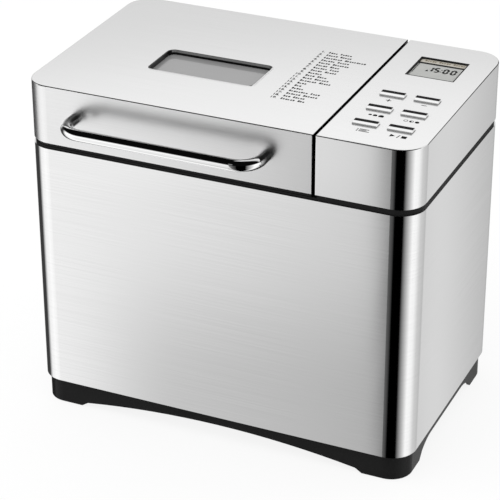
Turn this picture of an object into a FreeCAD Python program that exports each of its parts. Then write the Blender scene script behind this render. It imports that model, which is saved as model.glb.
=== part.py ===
import FreeCAD, Part
import math
import operator
import os
import types

import Sketcher

# Driving dimensions of the bread machine in millimetres. Each one is a cell of the spreadsheet.
SIZES = {
    # outer body: plan, levels and the split between lid and control section
    "body_width": 360,
    "body_depth": 222.7,
    "corner_radius": 23,
    "base_height": 25,
    "shell_height": 233.1,
    "seam_height": 5.6,
    "lid_height": 53.5,
    "control_width": 90,
    "lid_gap": 2,
    "sheet": 0.8,
    "edge_radius": 1,
    "seam_inset": 1.2,
    "skin_clearance": 0.15,
    "fit_clearance": 0.05,
    "rest_gap": 0.3,
    # base tray and feet
    "base_inset": 3.3,
    "base_wall": 3,
    "base_floor_under": 17,
    "base_floor_thickness": 3,
    "foot_lift": 1,
    "foot_length": 39.4,
    "foot_step_run": 6,
    "front_step_height": 4.9,
    "front_arch_height": 14.9,
    "side_step_height": 7.5,
    "side_arch_height": 14,
    "side_arch_flat": 80,
    "foot_post": 34,
    "rubber_foot": 22,
    "rubber_recess": 2,
    "post": 12,
    "board_post": 8,
    "board_post_height": 14,
    # fasteners
    "screw": 3.6,
    "screw_clearance": 0.3,
    "screw_head": 7,
    "screw_head_height": 1.8,
    "screw_length": 8,
    "screw_boss": 9,
    "drive_slot": 4.4,
    "drive_slot_width": 1.1,
    "drive_slot_depth": 1.1,
    "base_screw_inset": 10,
    "base_screw_setback": 45,
    # steel wrap and rear panel
    "base_flange": 14,
    "top_flange": 8,
    "rear_margin": 32,
    "rear_rail": 14,
    "rear_overlap": 8,
    "rear_panel_thickness": 3,
    "vent_width": 4,
    "vent_length": 46,
    "vent_pitch": 10,
    "vent_count": 9,
    "vent_drop": 50,
    "gland_x": 60,
    "gland_height": 52,
    "gland_bore": 8,
    "gland_barrel": 14,
    "gland_flange": 22,
    "gland_flange_thickness": 2,
    "gland_length": 12,
    # deck and hinges
    "deck_thickness": 2.2,
    "lid_rest_gap": 0.6,
    "wire_opening_width": 54,
    "wire_opening_depth": 80,
    "hinge_inset": 5,
    "hinge_rise": 4.3,
    "hinge_radius": 3.8,
    "hinge_pin": 3,
    "hinge_spacing": 170,
    "hinge_knuckle": 14,
    "hinge_ear": 6,
    "hinge_side_gap": 0.4,
    "hinge_notch_gap": 1,
    # control section
    "housing_wall": 2,
    "housing_band": 6,
    "housing_drop": 6,
    "shelf_drop": 27,
    "shelf_thickness": 2,
    "board_drop": 19,
    "board_thickness": 1.6,
    "board_margin": 6,
    "board_end_gap": 19,
    "board_screw_inset": 8,
    "display_width": 44.3,
    "display_depth": 43.5,
    "display_inset": 44.3,
    "display_setback": 54.2,
    "bezel_wall": 1,
    "bezel_flange": 3,
    "bezel_flange_thickness": 0.8,
    "lens_thickness": 1.5,
    "button_length": 21.5,
    "button_depth": 8,
    "button_rise": 2.2,
    "button_front_rise": 1.3,
    "button_back_rise": 1.8,
    "button_top_back": 3.6,
    "button_top_front": 1.3,
    "button_end_chamfer": 0.3,
    "button_gap": 0.3,
    "button_flange": 1.2,
    "button_flange_thickness": 1.5,
    "button_inset": 44.4,
    "button_setback": 69,
    "button_column_pitch": 30.5,
    "button_row_pitch": 31.5,
    "button_stem": 3.6,
    "switch_width": 8,
    "switch_height": 4.5,
    "switch_bore": 4,
    "switch_engagement": 2,
    # lid
    "frame_relief": 8,
    "frame_wall": 2,
    "frame_wall_height": 34,
    "frame_rib": 2.5,
    "liner_margin": 3,
    "liner_flange": 8,
    "liner_screw_offset": 4.6,
    "liner_clearance": 4,
    "seal_offset": 3.5,
    "seal_width": 4,
    "seal_depth": 1.5,
    "window_width": 101.5,
    "window_depth": 49.5,
    "window_shift": 0.2,
    "window_setback": 93.1,
    "window_radius": 7,
    "window_recess": 4.2,
    "trim_wall": 1.2,
    "trim_flange": 5,
    "trim_flange_thickness": 1.5,
    "glass_thickness": 4,
    "glass_overlap": 4,
    "gasket_inset": 3,
    "handle_tube": 10.5,
    "handle_standoff": 26.8,
    "handle_span": 178.2,
    "handle_shift": 3.4,
    "handle_bend": 19,
    "handle_bore_depth": 12,
    # baking chamber and heater
    "chamber_side_gap": 17,
    "chamber_end_gap": 21.35,
    "chamber_radius": 30,
    "chamber_flange": 7,
    "heater_tube": 6.6,
    "heater_gap": 10,
    "heater_rise": 25,
    "heater_corner": 25,
    "heater_leg": 10,
    "heater_leg_bend": 10,
    "heater_tail": 8,
    "clip_width": 12,
    "clip_thickness": 1.5,
    "clip_reach": 14,
    "sensor": 6,
    "sensor_reach": 12,
    "sensor_tail": 14,
    "sensor_flange": 14,
    "sensor_y": 55,
    "sensor_rise": 60,
    "cutout": 18,
    "cutout_thickness": 9,
    "cutout_rise": 100,
    # bread pan
    "pan_rim_drop": 27.3,
    "pan_gap": 20,
    "pan_draft": 9.5,
    "pan_rim_radius": 25,
    "pan_floor_radius": 20,
    "pan_wall": 1.5,
    "pan_floor": 2,
    "pan_rim": 2.5,
    "pan_rim_height": 2.5,
    "pan_lift": 17.2,
    "ear_reach": 5,
    "ear_width": 14,
    "ear_height": 12,
    "bail_wire": 4.5,
    "bail_leg": 66.5,
    "bail_bend": 24,
    "bail_root_bend": 4,
    "bail_pivot_drop": 6,
    "bail_side_gap": 0.3,
    "bail_pin": 4,
    "bail_rest": 1.2,
    "seat_bore": 93,
    "seat_wall": 6.5,
    "seat_height": 8,
    "seat_flange": 8,
    "seat_flange_thickness": 1.5,
    "hook_reach": 2,
    "hook_width": 6.5,
    "hook_thickness": 1.8,
    "ring_gap": 2.5,
    "ring_wall": 4,
    "ring_flange": 6,
    "lug_gap": 0.5,
    "lug_thickness": 2,
    "lug_count": 4,
    # kneading drive
    "pan_shaft": 8,
    "pan_shaft_rise": 26,
    "bush": 18,
    "bush_flange": 30,
    "bush_flange_thickness": 3,
    "bush_rise": 2,
    "bush_drop": 5,
    "shaft_seal": 16,
    "shaft_seal_thickness": 2,
    "paddle_hub": 18,
    "paddle_reach": 46,
    "paddle_height": 20,
    "paddle_thickness": 5,
    "paddle_tip_radius": 12,
    "dog_bar": 30,
    "dog_bar_width": 7,
    "dog_height": 6,
    "dog_hub": 14,
    "dog_gap": 0.6,
    "dog_disc": 34,
    "dog_disc_thickness": 1.2,
    "dog_prong": 6,
    "dog_prong_offset": 8,
    "dog_clearance": 0.4,
    "drive_shaft": 10,
    "drive_shaft_tail": 22,
    "floor_hole": 14,
    "bearing_height": 20,
    "bearing_bore": 16,
    "bearing_barrel": 36,
    "bearing_flange": 60,
    "bearing_flange_thickness": 3,
    "bush_length": 8,
    "pulley_gap": 6,
    "pulley_width": 14,
    "drive_pulley": 92,
    "pulley_rim": 6,
    "pulley_hub": 24,
    "pulley_web": 4,
    "pulley_hole": 16,
    "pulley_hole_count": 6,
    "belt_width": 11,
    "belt_thickness": 1.8,
    "belt_gap": 0.3,
    "motor_pulley": 14,
    "motor_inset": 56,
    "motor_y": -20,
    "motor_plate": 84,
    "motor_plate_thickness": 3,
    "motor_stack": 78,
    "motor_stack_height": 34,
    "motor_bell": 72,
    "motor_bell_wall": 4,
    "motor_bell_height": 13,
    "motor_corner": 8,
    "rotor": 39,
    "rotor_gap": 0.5,
    "rotor_shaft": 8,
    "rotor_end": 4,
    "grommet": 16,
    "grommet_height": 4,
    "grommet_inset": 9,
    "chassis_height": 38,
    "chassis_thickness": 2,
    "chassis_reach": 70,
    "chassis_edge_gap": 14,
    "chassis_depth": 124,
    "chassis_corner": 8,
    "post_inset": 8,
    "shaft_hole": 18,
    # power parts
    "capacitor_length": 46,
    "capacitor_depth": 22,
    "capacitor_height": 30,
    "capacitor_front_gap": 16,
    "power_length": 84,
    "power_depth": 34,
    "power_edge_gap": 16,
    "power_rear_gap": 15,
    "power_post_inset": 5,
    "transformer_length": 34,
    "transformer_depth": 26,
    "transformer_height": 28,
    "relay_length": 20,
    "relay_depth": 16,
    "relay_height": 16,
    "part_gap": 8,
}

V = FreeCAD.Vector
UP = V(0, 0, 1)
SIGNS = {"+": operator.add, "-": operator.sub, "*": operator.mul, "/": operator.truediv}


class Size:
    """A length together with the spreadsheet expression that works it out."""

    def __init__(self, value, text):
        self.value = value
        self.text = text

    def __add__(self, other):
        return joined(self, "+", other)

    def __sub__(self, other):
        return joined(self, "-", other)

    def __mul__(self, other):
        return joined(self, "*", other)

    def __truediv__(self, other):
        return joined(self, "/", other)

    def __neg__(self):
        return joined(ZERO, "-", self)


def joined(left, sign, right):
    """One size from two, where either may be a plain number."""
    left, right = (side if isinstance(side, Size) else Size(side, repr(side)) for side in (left, right))
    return Size(SIGNS[sign](left.value, right.value), f"({left.text} {sign} {right.text})")


ZERO = Size(0, "0")

doc = FreeCAD.newDocument("bread_machine")
sheet = doc.addObject("Spreadsheet::Sheet", "Sizes")
for row, (name, number) in enumerate(SIZES.items(), start=1):
    sheet.set(f"A{row}", name)
    sheet.set(f"B{row}", str(number))
    sheet.setAlias(f"B{row}", name)
doc.recompute()
s = types.SimpleNamespace(**{name: Size(number, f"Sizes.{name}") for name, number in SIZES.items()})

# Levels, from the floor up.
base_floor = s.base_floor_under + s.base_floor_thickness
chassis_under = base_floor + s.chassis_height
chassis_top = chassis_under + s.chassis_thickness
chamber_under = chassis_top + s.bearing_height
chamber_floor = chamber_under + s.sheet
shell_top = s.base_height + s.shell_height
deck_top = shell_top + s.deck_thickness
lip_bottom = deck_top + s.lid_rest_gap
lid_bottom = shell_top + s.seam_height
top = lid_bottom + s.lid_height
skin_under = top - s.sheet

# Plan, from the middle of the body. The front looks along -Y.
half_width = s.body_width / 2
half_depth = s.body_depth / 2
split = half_width - s.control_width
lid_right = split - s.lid_gap / 2
control_left = split + s.lid_gap / 2
lid_center = (lid_right - half_width) / 2
handle_reach = s.handle_standoff + s.handle_tube / 2
body_y = (handle_reach - s.screw_head_height) / 2
chamber_half_x = (lid_right + half_width) / 2 - s.chamber_side_gap
chamber_half_y = half_depth - s.chamber_end_gap
motor_x = half_width - s.motor_inset

BODY = (ZERO, body_y, ZERO)
OVEN = (lid_center, body_y, ZERO)
MOTOR = (motor_x, body_y + s.motor_y, ZERO)

parts = []


def new_part(label, place):
    """An empty body with its own label, placed by expressions."""
    part = doc.addObject("PartDesign::Body", label)
    part.Label = label
    for axis, distance in zip("xyz", place):
        part.setExpression(f"Placement.Base.{axis}", distance.text)
    parts.append(part)
    return part


class Drawing:
    """The edges and constraints of one sketch, put in together."""

    def __init__(self):
        self.edges = []
        self.held = []

    def edge(self, shape):
        self.edges.append(shape)
        return len(self.edges) - 1

    def hold(self, *constraint, text=None):
        self.held.append((Sketcher.Constraint(*constraint), text))

    def pin(self, edge, end, x, y):
        """Holds one point of an edge at a place that follows the spreadsheet."""
        for kind, distance, axis in (("DistanceX", x, -2), ("DistanceY", y, -1)):
            if distance is ZERO:
                self.hold("PointOnObject", edge, end, axis)
            elif distance is not None:
                self.hold(kind, -1, 1, edge, end, distance.value, text=distance.text)

    def put_in(self, sketch):
        sketch.addGeometry(self.edges)
        numbers = sketch.addConstraint([constraint for constraint, text in self.held])
        for number, (constraint, text) in zip(numbers, self.held):
            if text:
                sketch.setExpression(f"Constraints[{number}]", text)


def new_sketch(part, plane, level, *loops):
    """A sketch on one of the body's own planes, moved along +X, +Y or +Z to its level."""
    sketch = part.newObject("Sketcher::SketchObject", "Sketch")
    support = next(item for item in part.Origin.OriginFeatures if item.Role == f"{plane}_Plane")
    sketch.AttachmentSupport = [(support, "")]
    sketch.MapMode = "FlatFace"
    offset = -level if plane == "XZ" else level
    sketch.setExpression("AttachmentOffset.Base.z", offset.text)
    drawing = Drawing()
    for draw in loops:
        draw(drawing)
    drawing.put_in(sketch)
    return sketch


def arc_between(start, end, radius, side):
    """The short arc from start to end. Side 1 bulges to the right of the way, side -1 to the left."""
    chord = end - start
    rise = math.sqrt(max(radius**2 - (chord.Length / 2) ** 2, 0))
    left = V(-chord.y, chord.x, 0).normalize()
    center = (start + end) / 2 + left * (rise * side)
    first, last = (start, end) if side == 1 else (end, start)
    angles = [math.atan2(point.y - center.y, point.x - center.x) for point in (first, last)]
    return Part.ArcOfCircle(Part.Circle(center, UP, radius), angles[0], angles[1])


def outline(*corners, closed=True):
    """Edges from corner to corner. A corner (x, y, radius) or (x, y, radius, side) starts an arc.

    A radius of None makes a half circle on a level chord.
    """

    def draw(drawing):
        places = [V(corner[0].value, corner[1].value, 0) for corner in corners]
        count = len(corners) if closed else len(corners) - 1
        ends = []
        for number in range(count):
            x, y, *arc = corners[number]
            start, end = places[number], places[(number + 1) % len(places)]
            side = arc[1] if len(arc) == 2 else 1
            if not arc:
                edge = drawing.edge(Part.LineSegment(start, end))
            elif arc[0] is None:
                edge = drawing.edge(arc_between(start, end, (end - start).Length / 2, side))
                drawing.pin(edge, 3, None, y)
            else:
                edge = drawing.edge(arc_between(start, end, arc[0].value, side))
                drawing.hold("Radius", edge, arc[0].value, text=arc[0].text)
            first, last = (1, 2) if side == 1 else (2, 1)
            drawing.pin(edge, first, x, y)
            ends.append((edge, first, last))
        for number in range(count if closed else count - 1):
            here, there = ends[number], ends[(number + 1) % count]
            drawing.hold("Coincident", here[0], here[2], there[0], there[1])
        if not closed:
            drawing.pin(ends[-1][0], ends[-1][2], corners[-1][0], corners[-1][1])

    return draw


def disc(x, y, diameter):
    """A circle about (x, y)."""

    def draw(drawing):
        circle = drawing.edge(Part.Circle(V(x.value, y.value, 0), UP, diameter.value / 2))
        drawing.hold("Diameter", circle, diameter.value, text=diameter.text)
        drawing.pin(circle, 3, x, y)

    return draw


def box(left, right, low, high):
    """A rectangle between two lefts and rights and two lows and highs."""
    return outline((left, low), (right, low), (right, high), (left, high))


def rounded(left, right, low, high, left_radius, right_radius=None):
    """A rectangle with round corners, which may differ from its left to its right side."""
    a = left_radius
    b = right_radius or left_radius
    return outline(
        (left + a, low),
        (right - b, low, b),
        (right, low + b),
        (right, high - b, b),
        (right - b, high),
        (left + a, high, a),
        (left, high - a),
        (left, low + a, a),
    )


def around(half_x, half_y, radius):
    """A rectangle with round corners about the middle of the sketch."""
    return rounded(-half_x, half_x, -half_y, half_y, radius)


def body_loop(inset):
    """The plan of the whole body, set in from its outside."""
    return around(half_width - inset, half_depth - inset, s.corner_radius - inset)


def lid_loop(inset, square):
    """The plan of the lid: round corners at the left, nearly square ones at the split."""
    left = inset - half_width
    right = lid_right - inset
    return rounded(left, right, inset - half_depth, half_depth - inset, s.corner_radius - inset, square)


def control_loop(inset, square):
    """The plan of the control section: nearly square corners at the split, round ones at the right."""
    left = control_left + inset
    right = half_width - inset
    return rounded(left, right, inset - half_depth, half_depth - inset, square, s.corner_radius - inset)


def oven_loop(grow):
    """The plan of the baking chamber's inside, grown outwards, about the chamber's own middle."""
    return around(chamber_half_x + grow, chamber_half_y + grow, s.chamber_radius + grow)


def lid_oven_loop(grow):
    """The same plan about the middle of the body."""
    reach = chamber_half_x + grow
    half_y = chamber_half_y + grow
    return rounded(lid_center - reach, lid_center + reach, -half_y, half_y, s.chamber_radius + grow)


def slot(x, low, high, width):
    """An upright slot with round ends."""
    half = width / 2
    return outline(
        (x + half, low + half),
        (x + half, high - half, None),
        (x - half, high - half),
        (x - half, low + half, None),
    )


def extruded(kind, part, plane, level, length, loops):
    """A pad or pocket of some loops drawn on one plane."""
    feature = part.newObject(kind, "Feature")
    feature.Profile = new_sketch(part, plane, level, *loops)
    feature.setExpression("Length", length.text)
    return feature


def pad(part, plane, low, high, *loops):
    """Adds the loops' area from low to high along the plane's normal."""
    level = high if plane == "XZ" else low
    return extruded("PartDesign::Pad", part, plane, level, high - low, loops)


def cut(part, plane, low, high, *loops):
    """Takes the loops' area away from low to high along the plane's normal."""
    level = low if plane == "XZ" else high
    return extruded("PartDesign::Pocket", part, plane, level, high - low, loops)


def turned(part, *profile):
    """A solid turned about Z from corners given as (radius, height)."""
    sketch = new_sketch(part, "XZ", ZERO, outline(*profile))
    feature = part.newObject("PartDesign::Revolution", "Turned")
    feature.Profile = sketch
    feature.ReferenceAxis = (sketch, ["V_Axis"])
    feature.Angle = 360
    return feature


def tube(part, path_level, path, profile_plane, profile_level, profile):
    """A round bar bent along a path in a level plane."""
    spine = new_sketch(part, "XY", path_level, path)
    feature = part.newObject("PartDesign::AdditivePipe", "Bar")
    feature.Profile = new_sketch(part, profile_plane, profile_level, profile)
    feature.Spine = (spine, [f"Edge{number + 1}" for number in range(spine.GeometryCount)])
    return feature


def lofted(kind, part, low, low_loop, high, high_loop):
    """A tapered solid, or hollow, between two loops."""
    feature = part.newObject(kind, "Taper")
    feature.Profile = new_sketch(part, "XY", low, low_loop)
    feature.Sections = [new_sketch(part, "XY", high, high_loop)]
    return feature


def spun(part, feature, count):
    """Copies of a feature set evenly round the Z axis."""
    pattern = part.newObject("PartDesign::PolarPattern", "Copies")
    pattern.Originals = [feature]
    pattern.Axis = (feature.Profile[0], ["N_Axis"])
    pattern.Angle = 360
    pattern.setExpression("Occurrences", count.text)
    part.Tip = pattern
    return pattern


def rowed(part, feature, length, count):
    """Copies of a feature set evenly along X."""
    pattern = part.newObject("PartDesign::LinearPattern", "Row")
    pattern.Originals = [feature]
    pattern.Direction = (feature.Profile[0], ["H_Axis"])
    pattern.setExpression("Length", length.text)
    pattern.setExpression("Occurrences", count.text)
    part.Tip = pattern
    return pattern


def softened(part, radius, wanted):
    """Rounds the edges that the test picks by their shape."""
    base = part.Tip
    base.recompute(True)
    names = [f"Edge{number}" for number, edge in enumerate(base.Shape.Edges, start=1) if wanted(edge)]
    feature = part.newObject("PartDesign::Fillet", "Softened")
    feature.Base = (base, names)
    feature.setExpression("Radius", radius.text)
    return feature


LEVEL_WITHIN = 0.001


def at_level(level):
    """A test for edges that lie flat at one height."""

    def wanted(edge):
        box_of = edge.BoundBox
        return box_of.ZLength < LEVEL_WITHIN and abs(box_of.ZMax - level.value) < LEVEL_WITHIN

    return wanted


def cross_recess(part, plane, low, high, places):
    """Crossed slots for a screwdriver in heads at the given places."""
    long = s.drive_slot / 2
    short = s.drive_slot_width / 2
    cut(part, plane, low, high, *[box(x - long, x + long, y - short, y + short) for x, y in places])
    cut(part, plane, low, high, *[box(x - short, x + short, y - long, y + long) for x, y in places])


def mirrored_pairs(x, y):
    """The four places that mirror (x, y) across both axes."""
    return [(sx, sy) for sx in (-x, x) for sy in (-y, y)]


# Places that two or more pieces share.
screw_hole = s.screw + s.screw_clearance
foot_x = half_width - s.base_inset - s.foot_length / 2
foot_y = half_depth - s.base_inset - s.foot_length / 2
foot_places = mirrored_pairs(foot_x, foot_y)
base_screw_x = half_width - s.base_screw_inset
base_screw_y = half_depth - s.base_screw_inset
base_screws = mirrored_pairs(base_screw_x, half_depth - s.base_screw_setback)
base_screws += [(ZERO, -base_screw_y), (ZERO, base_screw_y)]
chassis_left = lid_center - s.chassis_reach
chassis_right = half_width - s.chassis_edge_gap
post_y = s.chassis_depth / 2 - s.post_inset
post_middle = motor_x - s.motor_plate / 2 - s.post_inset
posts = [
    (chassis_left + s.post_inset, -post_y),
    (chassis_left + s.post_inset, post_y),
    (post_middle, -post_y),
    (post_middle, post_y),
    (chassis_right - s.post_inset, post_y),
]
power_right = half_width - s.power_edge_gap
power_left = power_right - s.power_length
power_rear = half_depth - s.power_rear_gap
power_front = power_rear - s.power_depth
power_posts = [
    (x, y)
    for x in (power_left + s.power_post_inset, power_right - s.power_post_inset)
    for y in (power_front + s.power_post_inset, power_rear - s.power_post_inset)
]
rear_face = half_depth - s.sheet
rear_open_x = half_width - s.rear_margin
rear_open_low = s.base_height + s.rear_rail
rear_open_high = shell_top - s.rear_rail
rear_screw_x = rear_open_x + s.rear_overlap / 2
rear_screw_low = rear_open_low + s.rear_overlap
rear_screw_high = rear_open_high - s.rear_overlap
rear_screws = [
    (x, z)
    for x in (-rear_screw_x, rear_screw_x)
    for z in (rear_screw_low, (rear_screw_low + rear_screw_high) / 2, rear_screw_high)
]
hinge_y = half_depth - s.hinge_inset
hinge_z = lid_bottom + s.hinge_rise
hinge_centers = [lid_center - s.hinge_spacing / 2, lid_center + s.hinge_spacing / 2]
ear_near = s.hinge_knuckle / 2 + s.hinge_side_gap
ear_far = ear_near + s.hinge_ear
notch_top = hinge_z + s.hinge_radius + s.hinge_notch_gap
shelf_under = top - s.shelf_drop - s.shelf_thickness
shelf_top = top - s.shelf_drop
board_under = top - s.board_drop
board_top = board_under + s.board_thickness
housing_inset = s.sheet + s.skin_clearance
board_half_y = half_depth - s.board_end_gap
board_left = control_left + s.board_margin
board_right = half_width - s.board_margin
board_screws = [
    (x, y)
    for x in (board_left + s.board_screw_inset, board_right - s.board_screw_inset)
    for y in (s.board_screw_inset - board_half_y, board_half_y - s.board_screw_inset)
]
lens_top = skin_under - s.bezel_flange_thickness
display_x = half_width - s.display_inset
display_y = half_depth - s.display_setback
button_x = half_width - s.button_inset
button_y = s.button_setback - half_depth
button_names = [
    "time_up_button",
    "loaf_size_button",
    "menu_button",
    "time_down_button",
    "crust_button",
    "start_stop_button",
]
button_places = [
    (button_x + s.button_column_pitch * column / 2, button_y + s.button_row_pitch * row)
    for column in (-1, 1)
    for row in (1, 0, -1)
]
switch_top = board_top + s.switch_height
pan_rim_z = deck_top - s.pan_rim_drop
pan_under = chamber_floor + s.pan_lift
pan_half_x = chamber_half_x - s.pan_gap
pan_half_y = chamber_half_y - s.pan_gap
bail_pivot_z = pan_rim_z - s.bail_pivot_drop
bail_rise = s.bail_pivot_drop + s.bail_wire / 2 + s.bail_rest
liner_under = bail_pivot_z + s.bail_leg + s.bail_wire / 2 + s.liner_clearance
liner_top = liner_under + s.sheet
window_x = lid_center + s.window_shift
window_y = s.window_setback - half_depth
glass_top = top - s.window_recess
glass_under = glass_top - s.glass_thickness
handle_x = lid_center + s.handle_shift
handle_left = handle_x - s.handle_span / 2
handle_right = handle_x + s.handle_span / 2
handle_z = lid_bottom + s.lid_height / 2
handle_ends = [handle_left, handle_right]
heater_x = chamber_half_x - s.heater_gap
heater_y = chamber_half_y - s.heater_gap
heater_z = chamber_floor + s.heater_rise
liner_screw_x = chamber_half_x + s.liner_margin + s.liner_screw_offset
liner_screws = [
    (lid_center + side, y)
    for side in (-liner_screw_x, liner_screw_x)
    for y in (-chamber_half_y / 2, ZERO, chamber_half_y / 2)
]
pulley_top = chassis_under - s.pulley_gap
pulley_under = pulley_top - s.pulley_width
belt_under = pulley_under + (s.pulley_width - s.belt_width) / 2
dog_disc_top = chamber_floor + s.dog_clearance + s.dog_disc_thickness
pan_dog_under = dog_disc_top + s.dog_gap
pan_dog_top = pan_dog_under + s.dog_height
bush_top = pan_under + s.pan_floor + s.bush_rise
seal_top = bush_top + s.shaft_seal_thickness
paddle_under = seal_top + s.rest_gap
shaft_top = paddle_under + s.pan_shaft_rise
bell_under = chassis_top + s.grommet_height
stack_under = bell_under + s.motor_plate_thickness + s.motor_bell_height
stack_top = stack_under + s.motor_stack_height
bell_top = stack_top + s.motor_bell_height + s.motor_plate_thickness


def base_tray():
    """Moulded tray: skirt with arches between four corner feet, floor, posts and screw bosses."""
    part = new_part("base_tray", BODY)
    inner = s.base_inset + s.base_wall
    pad(part, "XY", s.foot_lift, s.base_height, body_loop(s.base_inset))
    cut(part, "XY", s.foot_lift, s.base_floor_under, body_loop(inner))
    cut(part, "XY", base_floor, s.base_height, body_loop(inner))
    pad(part, "XY", s.foot_lift, s.base_floor_under, *[disc(x, y, s.foot_post) for x, y in foot_places])
    front_end = half_width - s.base_inset - s.foot_length
    front_step = front_end - s.foot_step_run
    arch_rise = s.front_arch_height - s.front_step_height
    arch_radius = (front_step * front_step + arch_rise * arch_rise) / (arch_rise * 2)
    front_arch = outline(
        (-front_end, -s.foot_lift),
        (front_end, -s.foot_lift),
        (front_end, s.foot_lift),
        (front_step, s.front_step_height, arch_radius),
        (-front_step, s.front_step_height),
        (-front_end, s.foot_lift),
    )
    cut(part, "XZ", -half_depth, half_depth, front_arch)
    side_end = half_depth - s.base_inset - s.foot_length
    side_step = side_end - s.foot_step_run
    flat = s.side_arch_flat / 2
    run = side_step - flat
    drop = s.side_arch_height - s.side_step_height
    bend = (run * run + drop * drop) / (drop * 2)
    side_arch = outline(
        (-side_end, -s.foot_lift),
        (side_end, -s.foot_lift),
        (side_end, s.foot_lift),
        (side_step, s.side_step_height, bend),
        (flat, s.side_arch_height),
        (-flat, s.side_arch_height, bend),
        (-side_step, s.side_step_height),
        (-side_end, s.foot_lift),
    )
    cut(part, "YZ", -half_width, half_width, side_arch)
    pad(part, "XY", base_floor, chassis_under, *[disc(x, y, s.post) for x, y in posts])
    board_posts = [disc(x, y, s.board_post) for x, y in power_posts]
    pad(part, "XY", base_floor, base_floor + s.board_post_height, *board_posts)
    pad(part, "XY", base_floor, s.base_height, *[disc(x, y, s.screw_boss) for x, y in base_screws])
    recesses = [disc(x, y, s.rubber_foot) for x, y in foot_places]
    cut(part, "XY", s.foot_lift, s.foot_lift + s.rubber_recess, *recesses)
    cut(part, "XY", s.base_floor_under, s.base_height, *[disc(x, y, screw_hole) for x, y in base_screws])
    chassis_holes = [disc(x, y, screw_hole) for x, y in posts]
    cut(part, "XY", chassis_under - s.screw_length, chassis_under, *chassis_holes)


def rubber_feet():
    """Four pads pressed into the corner feet. The machine stands on them."""
    part = new_part("rubber_feet", BODY)
    pad(part, "XY", ZERO, s.foot_lift + s.rubber_recess, *[disc(x, y, s.rubber_foot) for x, y in foot_places])


def case_screws():
    """Screws up through the base into the wrap's flange, and from behind through wrap and rear panel."""
    part = new_part("case_screws", BODY)
    head_under = s.base_floor_under - s.screw_head_height
    tip = s.base_height + s.sheet + s.screw_head_height
    pad(part, "XY", head_under, s.base_floor_under, *[disc(x, y, s.screw_head) for x, y in base_screws])
    pad(part, "XY", s.base_floor_under, tip, *[disc(x, y, s.screw) for x, y in base_screws])
    head_out = half_depth + s.screw_head_height
    pad(part, "XZ", half_depth, head_out, *[disc(x, z, s.screw_head) for x, z in rear_screws])
    pad(part, "XZ", half_depth - s.screw_length, half_depth, *[disc(x, z, s.screw) for x, z in rear_screws])
    cross_recess(part, "XY", head_under, head_under + s.drive_slot_depth, base_screws)
    cross_recess(part, "XZ", head_out - s.drive_slot_depth, head_out, rear_screws)


def wrap_shell():
    """Brushed steel wrap round the front, sides and rear corners, with turned-in flanges."""
    part = new_part("wrap_shell", BODY)
    pad(part, "XY", s.base_height, shell_top, body_loop(ZERO), body_loop(s.sheet))
    pad(part, "XY", s.base_height, s.base_height + s.sheet, body_loop(s.sheet / 2), body_loop(s.base_flange))
    pad(part, "XY", shell_top - s.sheet, shell_top, body_loop(s.sheet / 2), body_loop(s.top_flange))
    rear_hole = box(-rear_open_x, rear_open_x, rear_open_low, rear_open_high)
    rear_holes = [disc(x, z, screw_hole) for x, z in rear_screws]
    cut(part, "XZ", rear_face - s.sheet, half_depth + s.sheet, rear_hole, *rear_holes)
    flange_holes = [disc(x, y, screw_hole) for x, y in base_screws]
    cut(part, "XY", s.base_height, s.base_height + s.sheet, *flange_holes)


def rear_panel():
    """Moulded panel behind the wrap's rear opening, with air slots and the cord's hole."""
    part = new_part("rear_panel", BODY)
    reach = rear_open_x + s.rear_overlap
    low = rear_open_low - s.rear_overlap
    high = rear_open_high + s.rear_overlap
    front = rear_face - s.rear_panel_thickness
    pad(part, "XZ", front, rear_face, box(-reach, reach, low, high))
    holes = [disc(x, z, screw_hole) for x, z in rear_screws]
    cut(part, "XZ", front, rear_face, disc(s.gland_x, s.gland_height, s.gland_barrel), *holes)
    vent_high = rear_open_high - s.vent_drop
    vent_row = s.vent_pitch * (s.vent_count - 1)
    vents = [
        slot(x - vent_row / 2, vent_high - s.vent_length, vent_high, s.vent_width)
        for x in (-half_width / 2, half_width / 2)
    ]
    first = cut(part, "XZ", front, rear_face, *vents)
    rowed(part, first, vent_row, s.vent_count)


def cord_gland():
    """Bush in the rear panel that the mains cord passes through."""
    part = new_part("cord_gland", BODY)
    bore = disc(s.gland_x, s.gland_height, s.gland_bore)
    flange_out = rear_face + s.gland_flange_thickness
    barrel = disc(s.gland_x, s.gland_height, s.gland_barrel)
    pad(part, "XZ", flange_out - s.gland_length, flange_out, barrel, bore)
    pad(part, "XZ", rear_face, flange_out, disc(s.gland_x, s.gland_height, s.gland_flange), bore)


def deck_frame():
    """Top frame of the body: plate with the oven's opening and the hinge ears at the rear."""
    part = new_part("deck_frame", BODY)
    wire_x = (control_left + half_width) / 2
    wires = box(
        wire_x - s.wire_opening_width / 2,
        wire_x + s.wire_opening_width / 2,
        -s.wire_opening_depth / 2,
        s.wire_opening_depth / 2,
    )
    pad(part, "XY", shell_top, deck_top, body_loop(s.seam_inset), lid_oven_loop(ZERO), wires)
    ear = outline(
        (hinge_y - s.hinge_radius, shell_top),
        (hinge_y + s.hinge_radius, shell_top),
        (hinge_y + s.hinge_radius, hinge_z, None),
        (hinge_y - s.hinge_radius, hinge_z),
    )
    for center in hinge_centers:
        for inner, outer in ((center - ear_far, center - ear_near), (center + ear_near, center + ear_far)):
            pad(part, "YZ", inner, outer, ear)
        cut(part, "YZ", center - ear_far, center + ear_far, disc(hinge_y, hinge_z, s.hinge_pin))


def hinge_pins():
    """Two steel pins held in the deck's ears. The lid's knuckles turn on them."""
    part = new_part("hinge_pins", BODY)
    for center in hinge_centers:
        pad(part, "YZ", center - ear_far, center + ear_far, disc(hinge_y, hinge_z, s.hinge_pin))


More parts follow.
